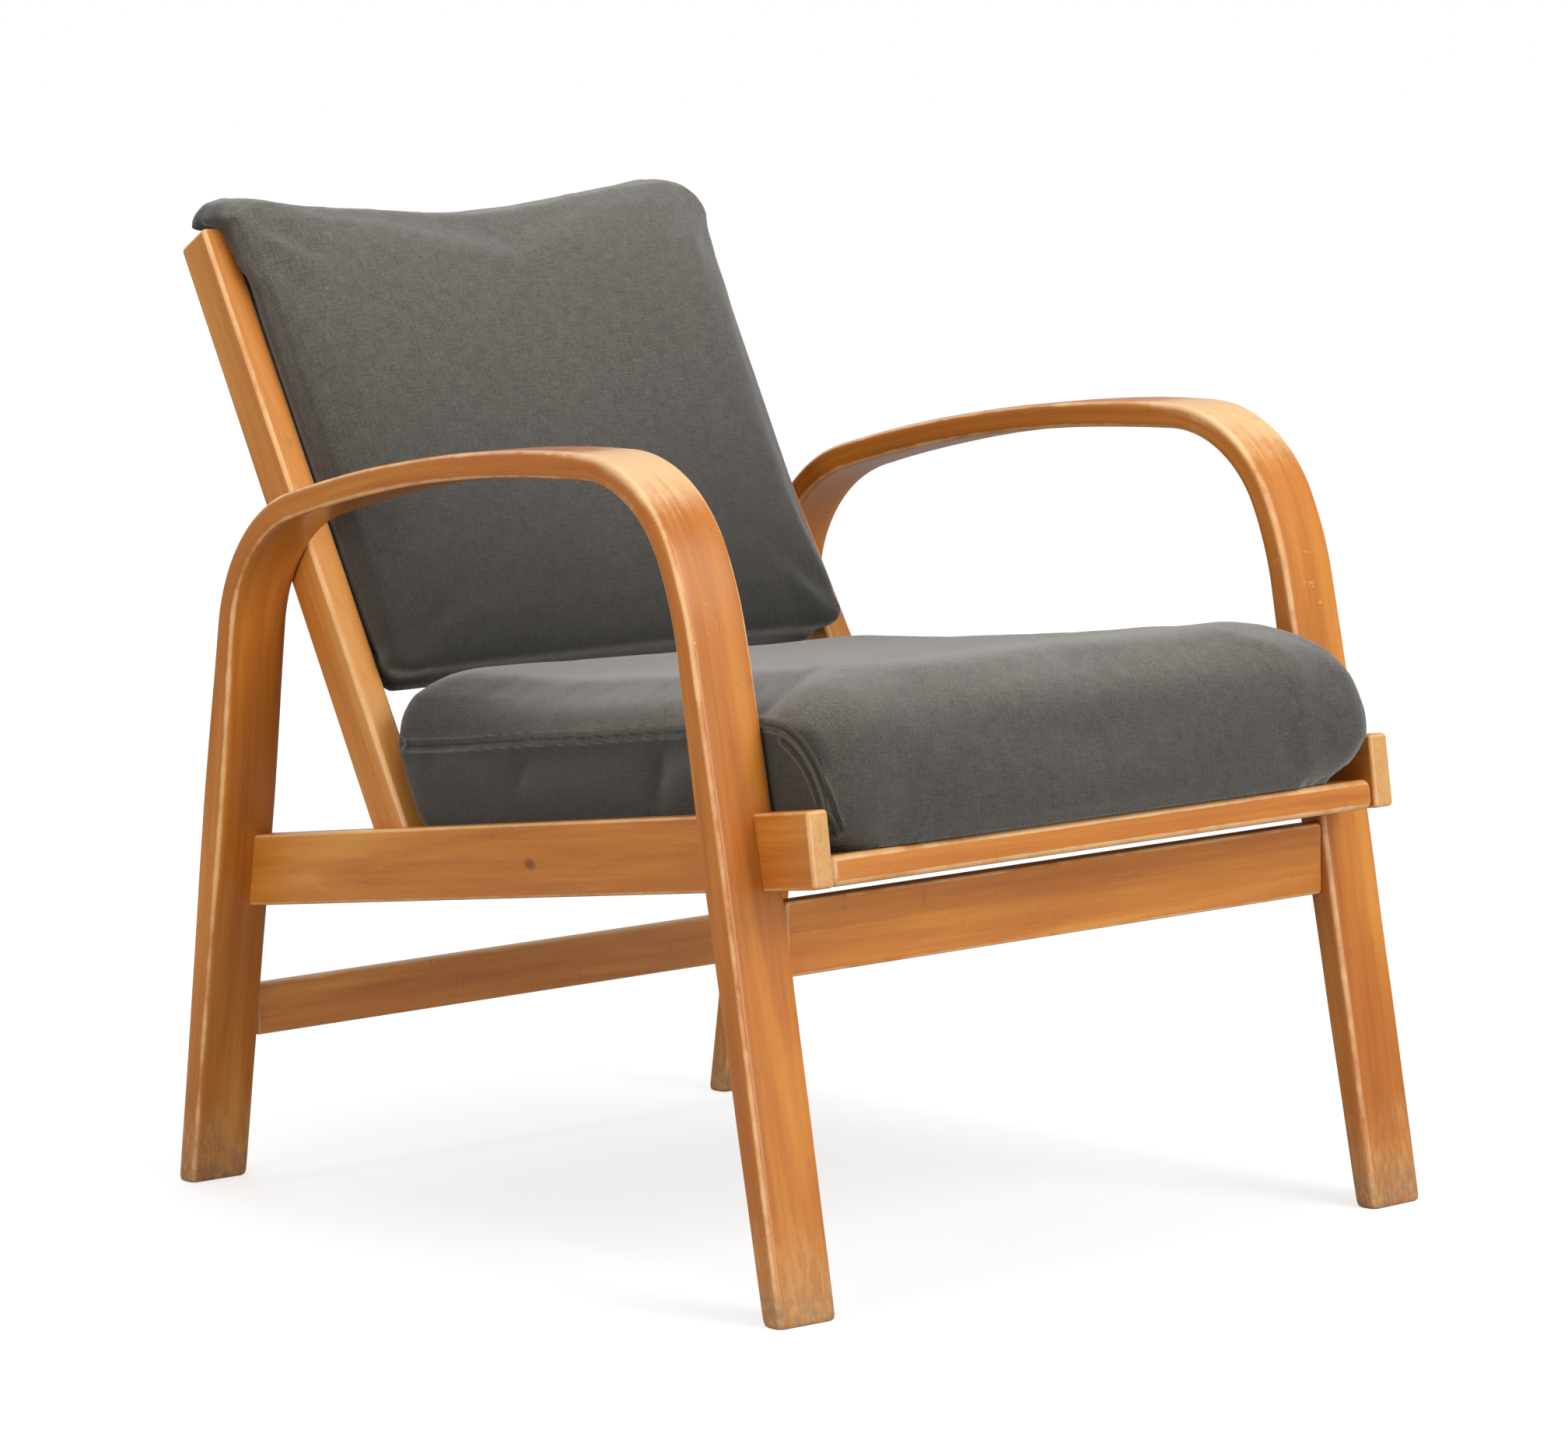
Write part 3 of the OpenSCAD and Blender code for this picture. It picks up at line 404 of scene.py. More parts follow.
def get_points(mesh, what="co"):
    points = np.zeros(len(mesh.vertices) * 3, np.float32)
    mesh.vertices.foreach_get(what, points)
    return points.reshape(-1, 3).astype(float)


def set_points(mesh, points):
    mesh.vertices.foreach_set("co", points.astype(np.float32).ravel())
    mesh.update()


def store(mesh, name, values, kind="FLOAT"):
    layer = mesh.attributes.get(name) or mesh.attributes.new(name, kind, "POINT")
    key = "value" if kind == "FLOAT" else "vector"
    layer.data.foreach_set(key, np.asarray(values, np.float32).ravel())


def smooth_faces(mesh):
    mesh.polygons.foreach_set("use_smooth", [True] * len(mesh.polygons))


def baked(obj):
    graph = bpy.context.evaluated_depsgraph_get()
    mesh = bpy.data.meshes.new_from_object(obj.evaluated_get(graph))
    obj.modifiers.clear()
    obj.data = mesh
    return mesh


# Straight wooden members: the outline of the CAD solid without its holes, with worn arrises
WELD = 1e-5
FLAT_ANGLE, ARRIS_ANGLE = rad(0.6), rad(25)
ARRIS_STEPS, LENGTHWISE_CUTS = 4, 24
# A face deeper than this is flat and no part of a rounded edge
FLAT_DEPTH = 0.004
TRIM_REACH = 0.05


def parts_of(node):
    """The loose solids of a CAD node, each as a list of points."""
    bm = bmesh.new()
    bm.from_mesh(nodes[node].data)
    bmesh.ops.remove_doubles(bm, verts=bm.verts, dist=WELD)
    seen, found = set(), []
    for start in bm.verts:
        if start in seen:
            continue
        stack, part = [start], []
        seen.add(start)
        while stack:
            v = stack.pop()
            part.append(v.co.copy())
            for e in v.link_edges:
                w = e.other_vert(v)
                if w not in seen:
                    seen.add(w)
                    stack.append(w)
        found.append(part)
    bm.free()
    return found


def member(bm, points, width):
    """Adds the hull of the points with rounded edges."""
    piece = bmesh.new()
    for p in points:
        piece.verts.new(p)
    bmesh.ops.convex_hull(piece, input=piece.verts)
    loose = [v for v in piece.verts if not v.link_faces]
    bmesh.ops.delete(piece, geom=loose, context="VERTS")
    bmesh.ops.dissolve_limit(piece, angle_limit=FLAT_ANGLE, verts=piece.verts,
                             edges=piece.edges)
    edges = [e for e in piece.edges
             if len(e.link_faces) == 2 and e.calc_face_angle() > ARRIS_ANGLE]
    bmesh.ops.bevel(piece, geom=edges, offset=width, segments=ARRIS_STEPS, profile=0.5,
                    affect="EDGES", clamp_overlap=True)
    corners = np.array([list(v.co) for v in piece.verts])
    low, high = corners.min(0), corners.max(0)
    longest = int((high - low).argmax())
    normal = Vector(np.eye(3)[longest])
    for k in range(1, LENGTHWISE_CUTS):
        where = normal * (low + (high - low) * k / LENGTHWISE_CUTS)[longest]
        bmesh.ops.bisect_plane(piece, geom=piece.verts[:] + piece.edges[:] + piece.faces[:],
                               plane_co=where, plane_no=normal)
    mesh = bpy.data.meshes.new("piece")
    piece.to_mesh(mesh)
    piece.free()
    bm.from_mesh(mesh)
    bpy.data.meshes.remove(mesh)


def arris_share(mesh):
    """1 within rounded edges and 0 at every corner of a flat face."""
    bm = bmesh.new()
    bm.from_mesh(mesh)
    share = []
    for v in bm.verts:
        depth = max(f.calc_area() / max(e.calc_length() for e in f.edges) for f in v.link_faces)
        share.append(0.0 if depth > FLAT_DEPTH else 1.0)
    bm.free()
    return share


def weighted_normals(obj, weight):
    weigh = obj.modifiers.new("weigh_normals", "WEIGHTED_NORMAL")
    weigh.weight = weight
    weigh.keep_sharp = False


def wooden(name, node, material, width, angle, seed, trim=0.0):
    """angle is the tilt of the grain in the y-z plane, or None for grain that runs across.
    trim draws the far end in, where it lies inside a rounded ribbon."""
    axis = Vector((1, 0, 0)) if angle is None else Vector((0, math.cos(angle), math.sin(angle)))
    bm = bmesh.new()
    for points in parts_of(node):
        far = max(p.dot(axis) for p in points) - TRIM_REACH
        member(bm, [p - axis * (trim if p.dot(axis) > far else 0) for p in points], width)
    mesh = bpy.data.meshes.new(name)
    bm.to_mesh(mesh)
    bm.free()
    smooth_faces(mesh)
    points = get_points(mesh)
    if angle is None:
        grain = points
    else:
        c, s = math.cos(angle), math.sin(angle)
        grain = np.stack([points[:, 1] * c + points[:, 2] * s,
                          points[:, 2] * c - points[:, 1] * s, points[:, 0]], 1)
    store(mesh, "grain", grain + seed, "FLOAT_VECTOR")
    store(mesh, "arris", arris_share(mesh))
    ends = mesh.attributes.new("end_grain", "FLOAT", "FACE")
    ends.data.foreach_set("value", [abs(f.normal.dot(axis)) for f in mesh.polygons])
    obj = add_object(name, mesh, material, BODY)
    weighted_normals(obj, 100)
    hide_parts(node)


for side, seed in (("left", 0.31), ("right", 1.13)):
    wooden(side + "_plank", side + "_side_rail", rail_wood, 0.0032, -TILT, seed,
           0.0022)
    wooden(side + "_post", side + "_back_post", post_wood, 0.0042,
           math.pi / 2 - LEAN, seed + 0.4)
for name, node, wood, width, seed in (
        ("front_slat", "front_cross_rail", cross_wood, 0.006, 2.2),
        ("rear_slat", "rear_cross_rail", cross_wood, 0.003, 2.7),
        ("front_stretcher_board", "front_stretcher", cross_wood, 0.0034, 3.4),
        ("rear_stretcher_board", "rear_stretcher", rear_wood, 0.003, 3.9)):
    wooden(name, node, wood, width, None, seed)
for k, place in enumerate(("bottom", "middle", "top")):
    wooden(place + "_back_board", place + "_back_rail", rail_wood, 0.0028, None,
           4.4 + k)
wooden("thin_slats", "seat_slats", slat_wood, 0.0022, None, 5.9)


# Bentwood ribbons: a rounded section swept along the same run as the CAD's. A place on the
# run is its y, its z and the angle by which the run has turned down from the crest.
FRAME_HALF, TOE, RIBBON_W = 0.302, rad(1.8), 0.052
CREST = (-0.1775, 0.578, 0.0)
REAR_ARCS = [(1.39, 15.1, 14), (0.121, 65, 32)]
FRONT_ARCS = [(0.102, 64.7, 32), (0.246, 15.2, 10)]
LEG_STEPS = 26
# Thickness at the floor, at the top of the legs and along the arm
FOOT_T, LEG_T, ARM_T = 0.020, 0.0255, 0.0195
LEG_END, ARM_START = 0.52 * CREST[1], 0.8 * CREST[1]
ARRIS_R = 0.005
INSET = 0.00015
# Rings round each foot: height over the floor, and how far the ring is drawn in
FOOT_RINGS = [(0.004, 0.0), (0.0011, 0.0006), (0.0, 0.0018)]
# Where the arm is rubbed pale, as a length along the run from the rear foot
RUBBED_AT, RUBBED_SPREAD = 0.975, 0.062


def stepped(p, radius, angle, sign):
    """The place further along an arc; sign is 1 towards the rear and -1 to the front."""
    return (p[0] + sign * radius * (math.sin(p[2] + angle) - math.sin(p[2])),
            p[1] - radius * (math.cos(p[2]) - math.cos(p[2] + angle)), p[2] + angle)


def half_run(arcs, sign):
    """From the crest over arcs of radius, degrees and steps, then straight to the floor."""
    run, at = [CREST], CREST
    for radius, angle, count in arcs:
        run += [stepped(at, radius, rad(angle) * i / count, sign) for i in range(1, count + 1)]
        at = run[-1]
    slope = sign / math.tan(at[2])
    run += [(at[0] + slope * at[1] * q, at[1] * (1 - q), at[2])
            for q in np.linspace(0.04, 1, LEG_STEPS)]
    return run


REAR_RUN = half_run(REAR_ARCS, 1)
FRONT_RUN = half_run(FRONT_ARCS, -1)


def ribbon_thickness(z):
    if z < LEG_END:
        return FOOT_T + (LEG_T - FOOT_T) * z / LEG_END
    return LEG_T - (LEG_T - ARM_T) * min(1, (z - LEG_END) / (ARM_START - LEG_END))


def section(half_t, half_w, r, count=5, spans=7):
    """Rounded rectangle as (across, sideways, arris) from the outer face round."""
    corners = [(half_t, half_w), (half_t, -half_w), (-half_t, -half_w), (-half_t, half_w)]
    ring = []
    for k, (a, b) in enumerate(corners):
        ca, cb = a - math.copysign(r, a), b - math.copysign(r, b)
        for i in range(count + 1):
            t = i / count * math.pi / 2
            turn = {0: (math.sin(t), math.cos(t)), 1: (math.cos(t), -math.sin(t)),
                    2: (-math.sin(t), -math.cos(t)), 3: (-math.cos(t), math.sin(t))}[k]
            ring.append((ca + r * turn[0], cb + r * turn[1], math.sin(2 * t)))
        na, nb = corners[(k + 1) % 4]
        ea = (a if a == na else math.copysign(abs(a) - r, a))
        eb = (b if b == nb else math.copysign(abs(b) - r, b))
        fa = (na if a == na else math.copysign(abs(na) - r, na))
        fb = (nb if b == nb else math.copysign(abs(nb) - r, nb))
        ring += [(ea + (fa - ea) * j / spans, eb + (fb - eb) * j / spans, 0.0)
                 for j in range(1, spans)]
    return ring


def ribbon(name, node, mirror, seed):
    run = [(p, 1) for p in reversed(REAR_RUN)] + [(p, -1) for p in FRONT_RUN[1:]]
    rows, grain, arris, rubbed, along = [], [], [], [], 0.0
    count = len(run)
    for i, (p, sign) in enumerate(run):
        if i:
            q = run[i - 1][0]
            along += math.hypot(p[0] - q[0], p[1] - q[1])
        end = i in (0, count - 1)
        thick = ribbon_thickness(p[1])
        out = (sign * math.sin(p[2]), math.cos(p[2]))
        down = (sign * math.cos(p[2]), -math.sin(p[2]))
        rings = [(0.0, 0.0)]
        if end:
            rings = FOOT_RINGS[::-1] if i == 0 else FOOT_RINGS
        for height, draw in rings:
            uneven = (0.0002 * math.sin(along * 21 + seed * 9)
                      + 0.0001 * math.sin(along * 57 + seed))
            ring = section(thick / 2 + uneven - draw, RIBBON_W / 2 - INSET - draw,
                           min(ARRIS_R, thick / 2 - draw - 0.001))
            row = []
            for a, b, e in ring:
                y, z = p[0] + out[0] * a, p[1] + out[1] * a
                if end:
                    lift = (height - z) / down[1]
                    y, z = y + down[0] * lift, height
                x = -RIBBON_W / 2 + INSET + b
                px = FRAME_HALF + x * math.cos(TOE) - y * math.sin(TOE)
                py = y * math.cos(TOE) + x * math.sin(TOE)
                row.append(Vector((mirror * px, py, z)))
                grain.append((along, a, b + seed))
                arris.append(max(e, 1.0 - height / FOOT_RINGS[0][0]) if end else e)
                top = math.exp(-((along - RUBBED_AT) / RUBBED_SPREAD) ** 2)
                rubbed.append(top * (0.35 + 0.65 * max(0.0, a / (thick / 2)))
                              * (0.75 + 0.25 * e))
            rows.append(row)
    mesh = bpy.data.meshes.new(name)
    wide = len(rows[0])
    points = [v for row in rows for v in row]
    faces = []
    for i in range(len(rows) - 1):
        for j in range(wide):
            k = (j + 1) % wide
            faces.append((i * wide + j, i * wide + k, (i + 1) * wide + k, (i + 1) * wide + j))
    last = (len(rows) - 1) * wide
    faces.append(tuple(range(wide)))
    faces.append(tuple(last + j for j in reversed(range(wide))))
    mesh.from_pydata(points, [], faces)
    bm = bmesh.new()
    bm.from_mesh(mesh)
    bmesh.ops.recalc_face_normals(bm, faces=bm.faces)
    bm.to_mesh(mesh)
    bm.free()
    smooth_faces(mesh)
    store(mesh, "grain", np.array(grain), "FLOAT_VECTOR")
    store(mesh, "arris", arris)
    store(mesh, "rubbed", rubbed)
    obj = add_object(name, mesh, ribbon_wood, BODY)
    weighted_normals(obj, 60)
    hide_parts(node)


ribbon("left_ribbon", "left_bentwood_frame", -1, 0.2)
ribbon("right_ribbon", "right_bentwood_frame", 1, 0.9)


# Wood screws with slotted countersunk heads, a hair proud of the wood
HEAD_SIDES = 32
# Share of the head's radius and height over the wood, from the edge of the lid round and down
HEAD_PROFILE = ((0.45, 0.00055), (0.8, 0.00035), (1.0, 0.00005), (0.98, -0.0004),
                (0.6, -0.0022), (0.5, -0.004))
SLOT_HALF, SLOT_DEPTH = 0.0006, 0.0006
LID_DEPTH = 0.0004


def screw_heads(name, node):
    bm = bmesh.new()
    for points in parts_of(node):
        pts = np.array([list(p) for p in points])
        centre = pts.mean(0)
        _, _, axes = np.linalg.svd(pts - centre)
        axis = axes[0]
        reach = (pts - centre) @ axis
        spread = np.linalg.norm((pts - centre) - np.outer(reach, axis), axis=1)
        if reach[spread.argmax()] < 0:
            axis, reach = -axis, -reach
        top = reach.max()
        radius = spread.max()
        across = np.cross(axis, [1, 0, 0] if abs(axis[0]) < 0.9 else [0, 0, 1])
        across /= np.linalg.norm(across)
        other = np.cross(axis, across)
        spin = 0.7 + 3.1 * (centre[1] + centre[2]) * 10
        rings = []
        for share, height in HEAD_PROFILE:
            ring = []
            for k in range(HEAD_SIDES):
                a = 2 * math.pi * k / HEAD_SIDES
                flat = (across * math.cos(a) + other * math.sin(a)) * share * radius
                slot = abs(math.cos(a - spin) * share * radius) < SLOT_HALF and height > 0
                rise = -SLOT_DEPTH if slot else height
                ring.append(bm.verts.new(centre + axis * (top + rise) + flat))
            rings.append(ring)
        lid = bm.verts.new(centre + axis * (top - LID_DEPTH))
        for k in range(HEAD_SIDES):
            n = (k + 1) % HEAD_SIDES
            for first, second in zip(rings, rings[1:]):
                bm.faces.new((first[k], first[n], second[n], second[k]))
            bm.faces.new((lid, rings[0][n], rings[0][k]))
    bmesh.ops.recalc_face_normals(bm, faces=bm.faces)
    mesh = bpy.data.meshes.new(name)
    bm.to_mesh(mesh)
    bm.free()
    obj = add_object(name, mesh, steel, BODY)
    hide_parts(node)


for node in ("side_rail_screws", "post_screws", "back_pad_screws"):
    screw_heads(node.replace("_screws", "_screw_heads"), node)
for node in ("stretcher_dowels", "cross_rail_dowels", "slat_dowels", "back_rail_dowels"):
    nodes[node].data.materials.clear()
    nodes[node].data.materials.append(slat_wood)


# Cushions: the CAD form swollen by a cloth simulation, then seamed
VOXEL = 0.005
PRESSURE, CLOTH_FRAMES = 4.0, 20
# Seams: how far they shape the cloth, the finer mesh beside them, and the lips of the groove
SEAM_REACH, FINER_REACH = 0.03, 0.011
PATH_STEP, LINE_ROUNDS = 0.002, 30
LIP_AT, LIP_SHARE, PUCKER = 2.2, 0.55, 0.00012


def plane_parts(points, y0, z0, angle):
    """The points' x, and y and z as seen from (y0, z0) after a turn by angle."""
    c, s = math.cos(angle), math.sin(angle)
    y, z = points[:, 1] - y0, points[:, 2] - z0
    return points[:, 0].copy(), y * c - z * s, y * s + z * c


def plane_points(x, v, w, y0, z0, angle):
    c, s = math.cos(angle), math.sin(angle)
    return np.stack([x, v * c + w * s + y0, w * c - v * s + z0], 1)


SEAT_PLANE = (-0.38794, 0.2998, TILT)
BACK_PLANE = (0.086238, 0.241453, math.atan(math.tan(LEAN) * math.cos(TOE)))


def inner_x(y):
    """Half the width between the ribbons."""
    return FRAME_HALF - RIBBON_W / math.cos(TOE) - y * math.tan(TOE)


def voxel_copy(name, node, shaped=None):
    mesh = nodes[node].data.copy()
    bm = bmesh.new()
    bm.from_mesh(mesh)
    bmesh.ops.remove_doubles(bm, verts=bm.verts, dist=WELD)
    bm.to_mesh(mesh)
    bm.free()
    if shaped:
        set_points(mesh, shaped(get_points(mesh)))
    obj = add_object(name, mesh, seat_wool, None)
    remesh = obj.modifiers.new("voxels", "REMESH")
    remesh.mode = "VOXEL"
    remesh.voxel_size = VOXEL
    baked(obj)
    return obj


def relaxed(mesh, points, rounds, free, share=0.5):
    """Draws each point towards the mean of its neighbours, by its share of freedom."""
    pairs = np.zeros(len(mesh.edges) * 2, int)
    mesh.edges.foreach_get("vertices", pairs)
    a, b = pairs.reshape(-1, 2).T
    number = np.bincount(np.concatenate([a, b]), minlength=len(points))[:, None]
    for _ in range(rounds):
        total = np.zeros_like(points)
        np.add.at(total, a, points[b])
        np.add.at(total, b, points[a])
        points = points + (total / number - points) * (share * free)[:, None]
    return points


def evened(mesh, points, rounds, free):
    """Smooths out small steps and keeps the form, by steps that shrink and swell in turn."""
    for _ in range(rounds):
        points = relaxed(mesh, points, 1, free, 0.6)
        points = relaxed(mesh, points, 1, free, -0.63)
    return points


def inflated(obj, held, cap):
    """Moves the mesh as pressure swells it, each point by at most its cap."""
    mesh = obj.data
    start = get_points(mesh)
    group = obj.vertex_groups.new(name="held")
    group.add([int(i) for i in np.flatnonzero(held)], 1.0, "REPLACE")
    cloth = obj.modifiers.new("cloth", "CLOTH")
    cloth.settings.quality = 4
    cloth.settings.use_pressure = True
    cloth.settings.uniform_pressure_force = PRESSURE
    cloth.settings.effector_weights.gravity = 0
    cloth.settings.vertex_group_mass = "held"
    cloth.settings.bending_stiffness = 1.5
    cloth.point_cache.frame_start, cloth.point_cache.frame_end = 1, CLOTH_FRAMES
    for step in range(1, CLOTH_FRAMES + 1):
        scene.frame_set(step)
    graph = bpy.context.evaluated_depsgraph_get()
    moved = get_points(obj.evaluated_get(graph).data)
    obj.modifiers.clear()
    obj.vertex_groups.clear()
    scene.frame_set(1)
    shift = moved - start
    length = np.maximum(np.linalg.norm(shift, axis=1), 1e-9)
    return start + shift * np.minimum(1, cap / length)[:, None]


def subdivided(obj):
    obj.modifiers.new("finer", "SUBSURF").levels = 1
    return baked(obj)


def nearest(points, targets):
    """For each target the number of the nearest point, and how far it is."""
    tree = kdtree.KDTree(len(points))
    for i, p in enumerate(points):
        tree.insert(p, i)
    tree.balance()
    found = [tree.find(t) for t in targets]
    return np.array([f[1] for f in found]), np.array([f[2] for f in found])


def dense(path):
    """The path as evenly spaced points."""
    path = np.asarray(path, float)
    legs = np.linalg.norm(np.diff(path, axis=0), axis=1)
    place = np.concatenate([[0], np.cumsum(legs)])
    at = np.arange(0, place[-1], PATH_STEP)
    return np.stack([np.interp(at, place, path[:, k]) for k in range(3)], 1)


def seamed(mesh, paths, depth, width):
    """Sews a groove with a raised lip on each side along each path, and marks the groove for
    painted shade and the lips.
    """
    _, apart = nearest(np.concatenate([dense(path) for path in paths]), get_points(mesh))
    bm = bmesh.new()
    bm.from_mesh(mesh)
    bm.verts.ensure_lookup_table()
    edges = [e for e in bm.edges if max(apart[v.index] for v in e.verts) < FINER_REACH]
    bmesh.ops.subdivide_edges(bm, edges=edges, cuts=1, use_grid_fill=True)
    bm.to_mesh(mesh)
    bm.free()
    points, normals = get_points(mesh), get_points(mesh, "normal")
    groove, ridge = np.zeros(len(points)), np.zeros(len(points))
    moved = points.copy()
    for path in paths:
        where, _ = nearest(points, dense(path))
        line = points[where]
        for _ in range(LINE_ROUNDS):
            line[1:-1] = (line[:-2] + 2 * line[1:-1] + line[2:]) / 4
        close, apart = nearest(line, points)
        near = apart < SEAM_REACH
        sink = -depth * hump(apart, 0, width)
        lip = LIP_SHARE * depth * hump(apart, LIP_AT * width, width)
        wave = np.sin(close * 0.61) + 0.6 * np.sin(close * 0.37 + 1.7)
        gather = PUCKER * wave * hump(apart, 0, FINER_REACH)
        moved += normals * ((sink + lip + gather) * near)[:, None]
        groove = np.maximum(groove, hump(apart, 0, 0.75 * width) * near)
        ridge = np.maximum(ridge, hump(apart, LIP_AT * width, 0.7 * width) * near)
    set_points(mesh, moved)
    store(mesh, "seam", groove)
    store(mesh, "ridge", ridge)


# Seat cushion: v runs from its front to the rear and w is the height over its plane
BASE, BASE_RIM = 0.0223, 0.0001
SIDE_GAP = 0.0011
SEAM_LIFT = 0.0918
SEAT_REAR = 0.4764
# The cushion's path out of the chair lies at 18 degrees to its plane
PATH_REACH, PATH_SIN, PATH_COS = 0.3133, 0.309, 0.9507
# Seam up a front corner as v and height over the base
CORNER = [(0.0005, 0.004), (-0.001, 0.02), (0.001, 0.035), (0.0045, 0.048),
          (0.011, 0.061), (0.022, 0.075), (0.036, 0.0855), (0.055, 0.091)]
SEAM_DEPTH, SEAM_WIDTH = 0.0012, 0.0022
SEAT_SWELL, SEAT_HOLLOW, CORNER_SWELL = 0.0105, 0.008, 0.0115


def seat_limits(points):
    """Keeps the cushion on its base, between the ribbons and clear of the pad's path."""
    x, v, w = plane_parts(points, *SEAT_PLANE)
    side = inner_x(points[:, 1]) - SIDE_GAP
    x = np.clip(x, -side, side)
    w = np.where(w < BASE + 0.0024, BASE + BASE_RIM, w)
    w = np.minimum(w, (PATH_REACH - PATH_SIN * v) / PATH_COS)
    v = np.minimum(v, SEAT_REAR + w * math.tan(LEAN - TILT))
    return plane_points(x, v, w, *SEAT_PLANE)


def seat_seams():
    """A seam up each front corner and along the side, one across the rear, and a second line
    of stitches inside each corner."""
    def at(v, h, sign):
        p = plane_points(np.zeros(1), np.array([v]), np.array([BASE + h]), *SEAT_PLANE)[0]
        return (sign * (inner_x(p[1]) - 0.003), p[1], p[2])
    paths = []
    for sign in (-1, 1):
        paths.append([at(v, h, sign) for v, h in CORNER]
                     + [at(v, SEAM_LIFT, sign) for v in (0.08, 0.2, 0.35, 0.5)])
    near, far = (path[-1] for path in paths)
    paths.append([(near[0] + 0.006, near[1] + 0.006, near[2]),
                  (0, near[1] + 0.012, near[2]),
                  (far[0] - 0.006, far[1] + 0.006, far[2])])
    for sign in (-1, 1):
        paths.append([at(v + 0.0075, h - 0.0045, sign) for v, h in CORNER[:7]])
    return paths


def finished(mesh, material, painted_shade):
    """Gives a cushion its painted shade and its cloth."""
    store(mesh, "painted_shade", painted_shade)
    smooth_faces(mesh)
    mesh.materials.clear()
    mesh.materials.append(material)


def seat_cushion():
    obj = voxel_copy("seat_cushion_wool", "seat_cushion_core")
    mesh = obj.data
    start = get_points(mesh)
    x, v, w = plane_parts(start, *SEAT_PLANE)
    held = w < BASE + 0.004
    # Swells less towards the rear, and least in the hollow where people sit
    rear = ramp(v, 0.25, 0.45)
    cap = SEAT_SWELL - 0.0035 * rear * rear * (3 - 2 * rear)
    cap -= SEAT_HOLLOW * np.exp(-(x / 0.22) ** 4 - ((v - 0.16) / 0.2) ** 2)
    points = inflated(obj, held, cap)
    points = relaxed(mesh, points, 4, (~held).astype(float))
    points = evened(mesh, points, 14, (~held).astype(float))
    set_points(mesh, seat_limits(points))
    mesh = subdivided(obj)
    points = get_points(mesh)
    x, v, w = plane_parts(points, *SEAT_PLANE)
    # Full front corners
    full = hump(np.minimum(np.abs(x), 0.242), 0.242, 0.045) * hump(v, 0.04, 0.06)
    full *= ramp(w, 0.026, 0.056)
    points += get_points(mesh, "normal") * (CORNER_SWELL * full)[:, None]
    x, v, w = plane_parts(points, *SEAT_PLANE)
    # Rear edge pushed up, more on the near side, and the far side of the top a little lower
    top = ramp(w, 0.116, 0.138)
    w += (0.003 + 0.008 * ramp(x, 0.12, -0.18)) * top * hump(v, 0.5, 0.1)
    w -= 0.0028 * top * ramp(x, 0.05, 0.17) * hump(v, 0.17, 0.13)
    set_points(mesh, seat_limits(plane_points(x, v, w, *SEAT_PLANE)))
    seamed(mesh, seat_seams(), SEAM_DEPTH, SEAM_WIDTH)
    points = seat_limits(get_points(mesh))
    set_points(mesh, points)
    x, v, w = plane_parts(points, *SEAT_PLANE)
    # Painted shade: the cloth darker on the walls, low down, behind, under the nose and near the
    # arm
    facing = np.abs(get_points(mesh, "normal")[:, 0])
    walls = ramp(facing, 0.45, 0.8) * ramp(w, 0.118, 0.106) * 0.8
    under = ramp(w, 0.07, 0.02) ** 1.5 * 0.64
    back = ramp(v, 0.47, 0.49) * ramp(w, 0.13, 0.11) * 0.64
    nose = ramp(v, 0.07, 0) * ramp(w, 0.15, 0.1) * 0.56
    shaded = ramp(x, 0.02, -0.23) * ramp(v, 0.2, 0.45) * 0.7
    finished(mesh, seat_wool, np.maximum.reduce([walls, under, back, nose, shaded]))
    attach(obj, CUSHION)
    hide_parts("seat_cushion_cover", "seat_cushion_core", "seat_cushion_base_cloth")


# Back pad: v is the height along its slope, b the depth behind the posts' front faces
POST_TOP, POST_W = 0.5598, 0.025
POST_GAP = 0.0004
FRONT_OF_POST, LAPPED = -0.0009, -0.0008
PAD_BACK, CORE_BACK, PAD_REAR = 0.0205, 0.0114, 0.0209
PAD_SWELL, HELD_SWELL = 0.0019, 0.0017
PAD_RIM, RIM_DEPTH = -0.0215, 0.0009
PAD_HALF = 0.2228
EAR_HALF = PAD_HALF + 0.0165


def widened(v):
    """The far side of the pad has spread over its post, most near the top."""
    return 0.0118 * ramp(v, 0.27, 0.51) * ramp(v, 0.576, 0.536)


def back_limits(points):
    """Keeps the pad out of the posts and within its own outline."""
    x, b, v = plane_parts(points, *BACK_PLANE)
    x_in = (inner_x(points[:, 1]) - POST_W / math.cos(TOE) - 0.0005).clip(0.2)
    b = np.minimum(b, PAD_REAR)
    out_x, out_v, out_b = np.abs(x) - x_in, POST_TOP + POST_GAP - v, b - FRONT_OF_POST
    least = np.minimum(np.minimum(out_x, out_v), out_b)
    inside = least > 0
    x = np.where(inside & (out_x == least), np.sign(x) * x_in, x)
    flare = PAD_HALF + (EAR_HALF - PAD_HALF) * ramp(v, 0.5545, 0.5625)
    far_flare = np.maximum(flare, PAD_HALF + widened(v))
    x = np.where(b < LAPPED, np.clip(x, -flare, far_flare), x)
    v = np.where(inside & (out_v == least), POST_TOP + POST_GAP, v)
    b = np.where(inside & (out_b == least) & (out_x > least) & (out_v > least),
                 FRONT_OF_POST, b)
    return plane_points(x, b, v, *BACK_PLANE)


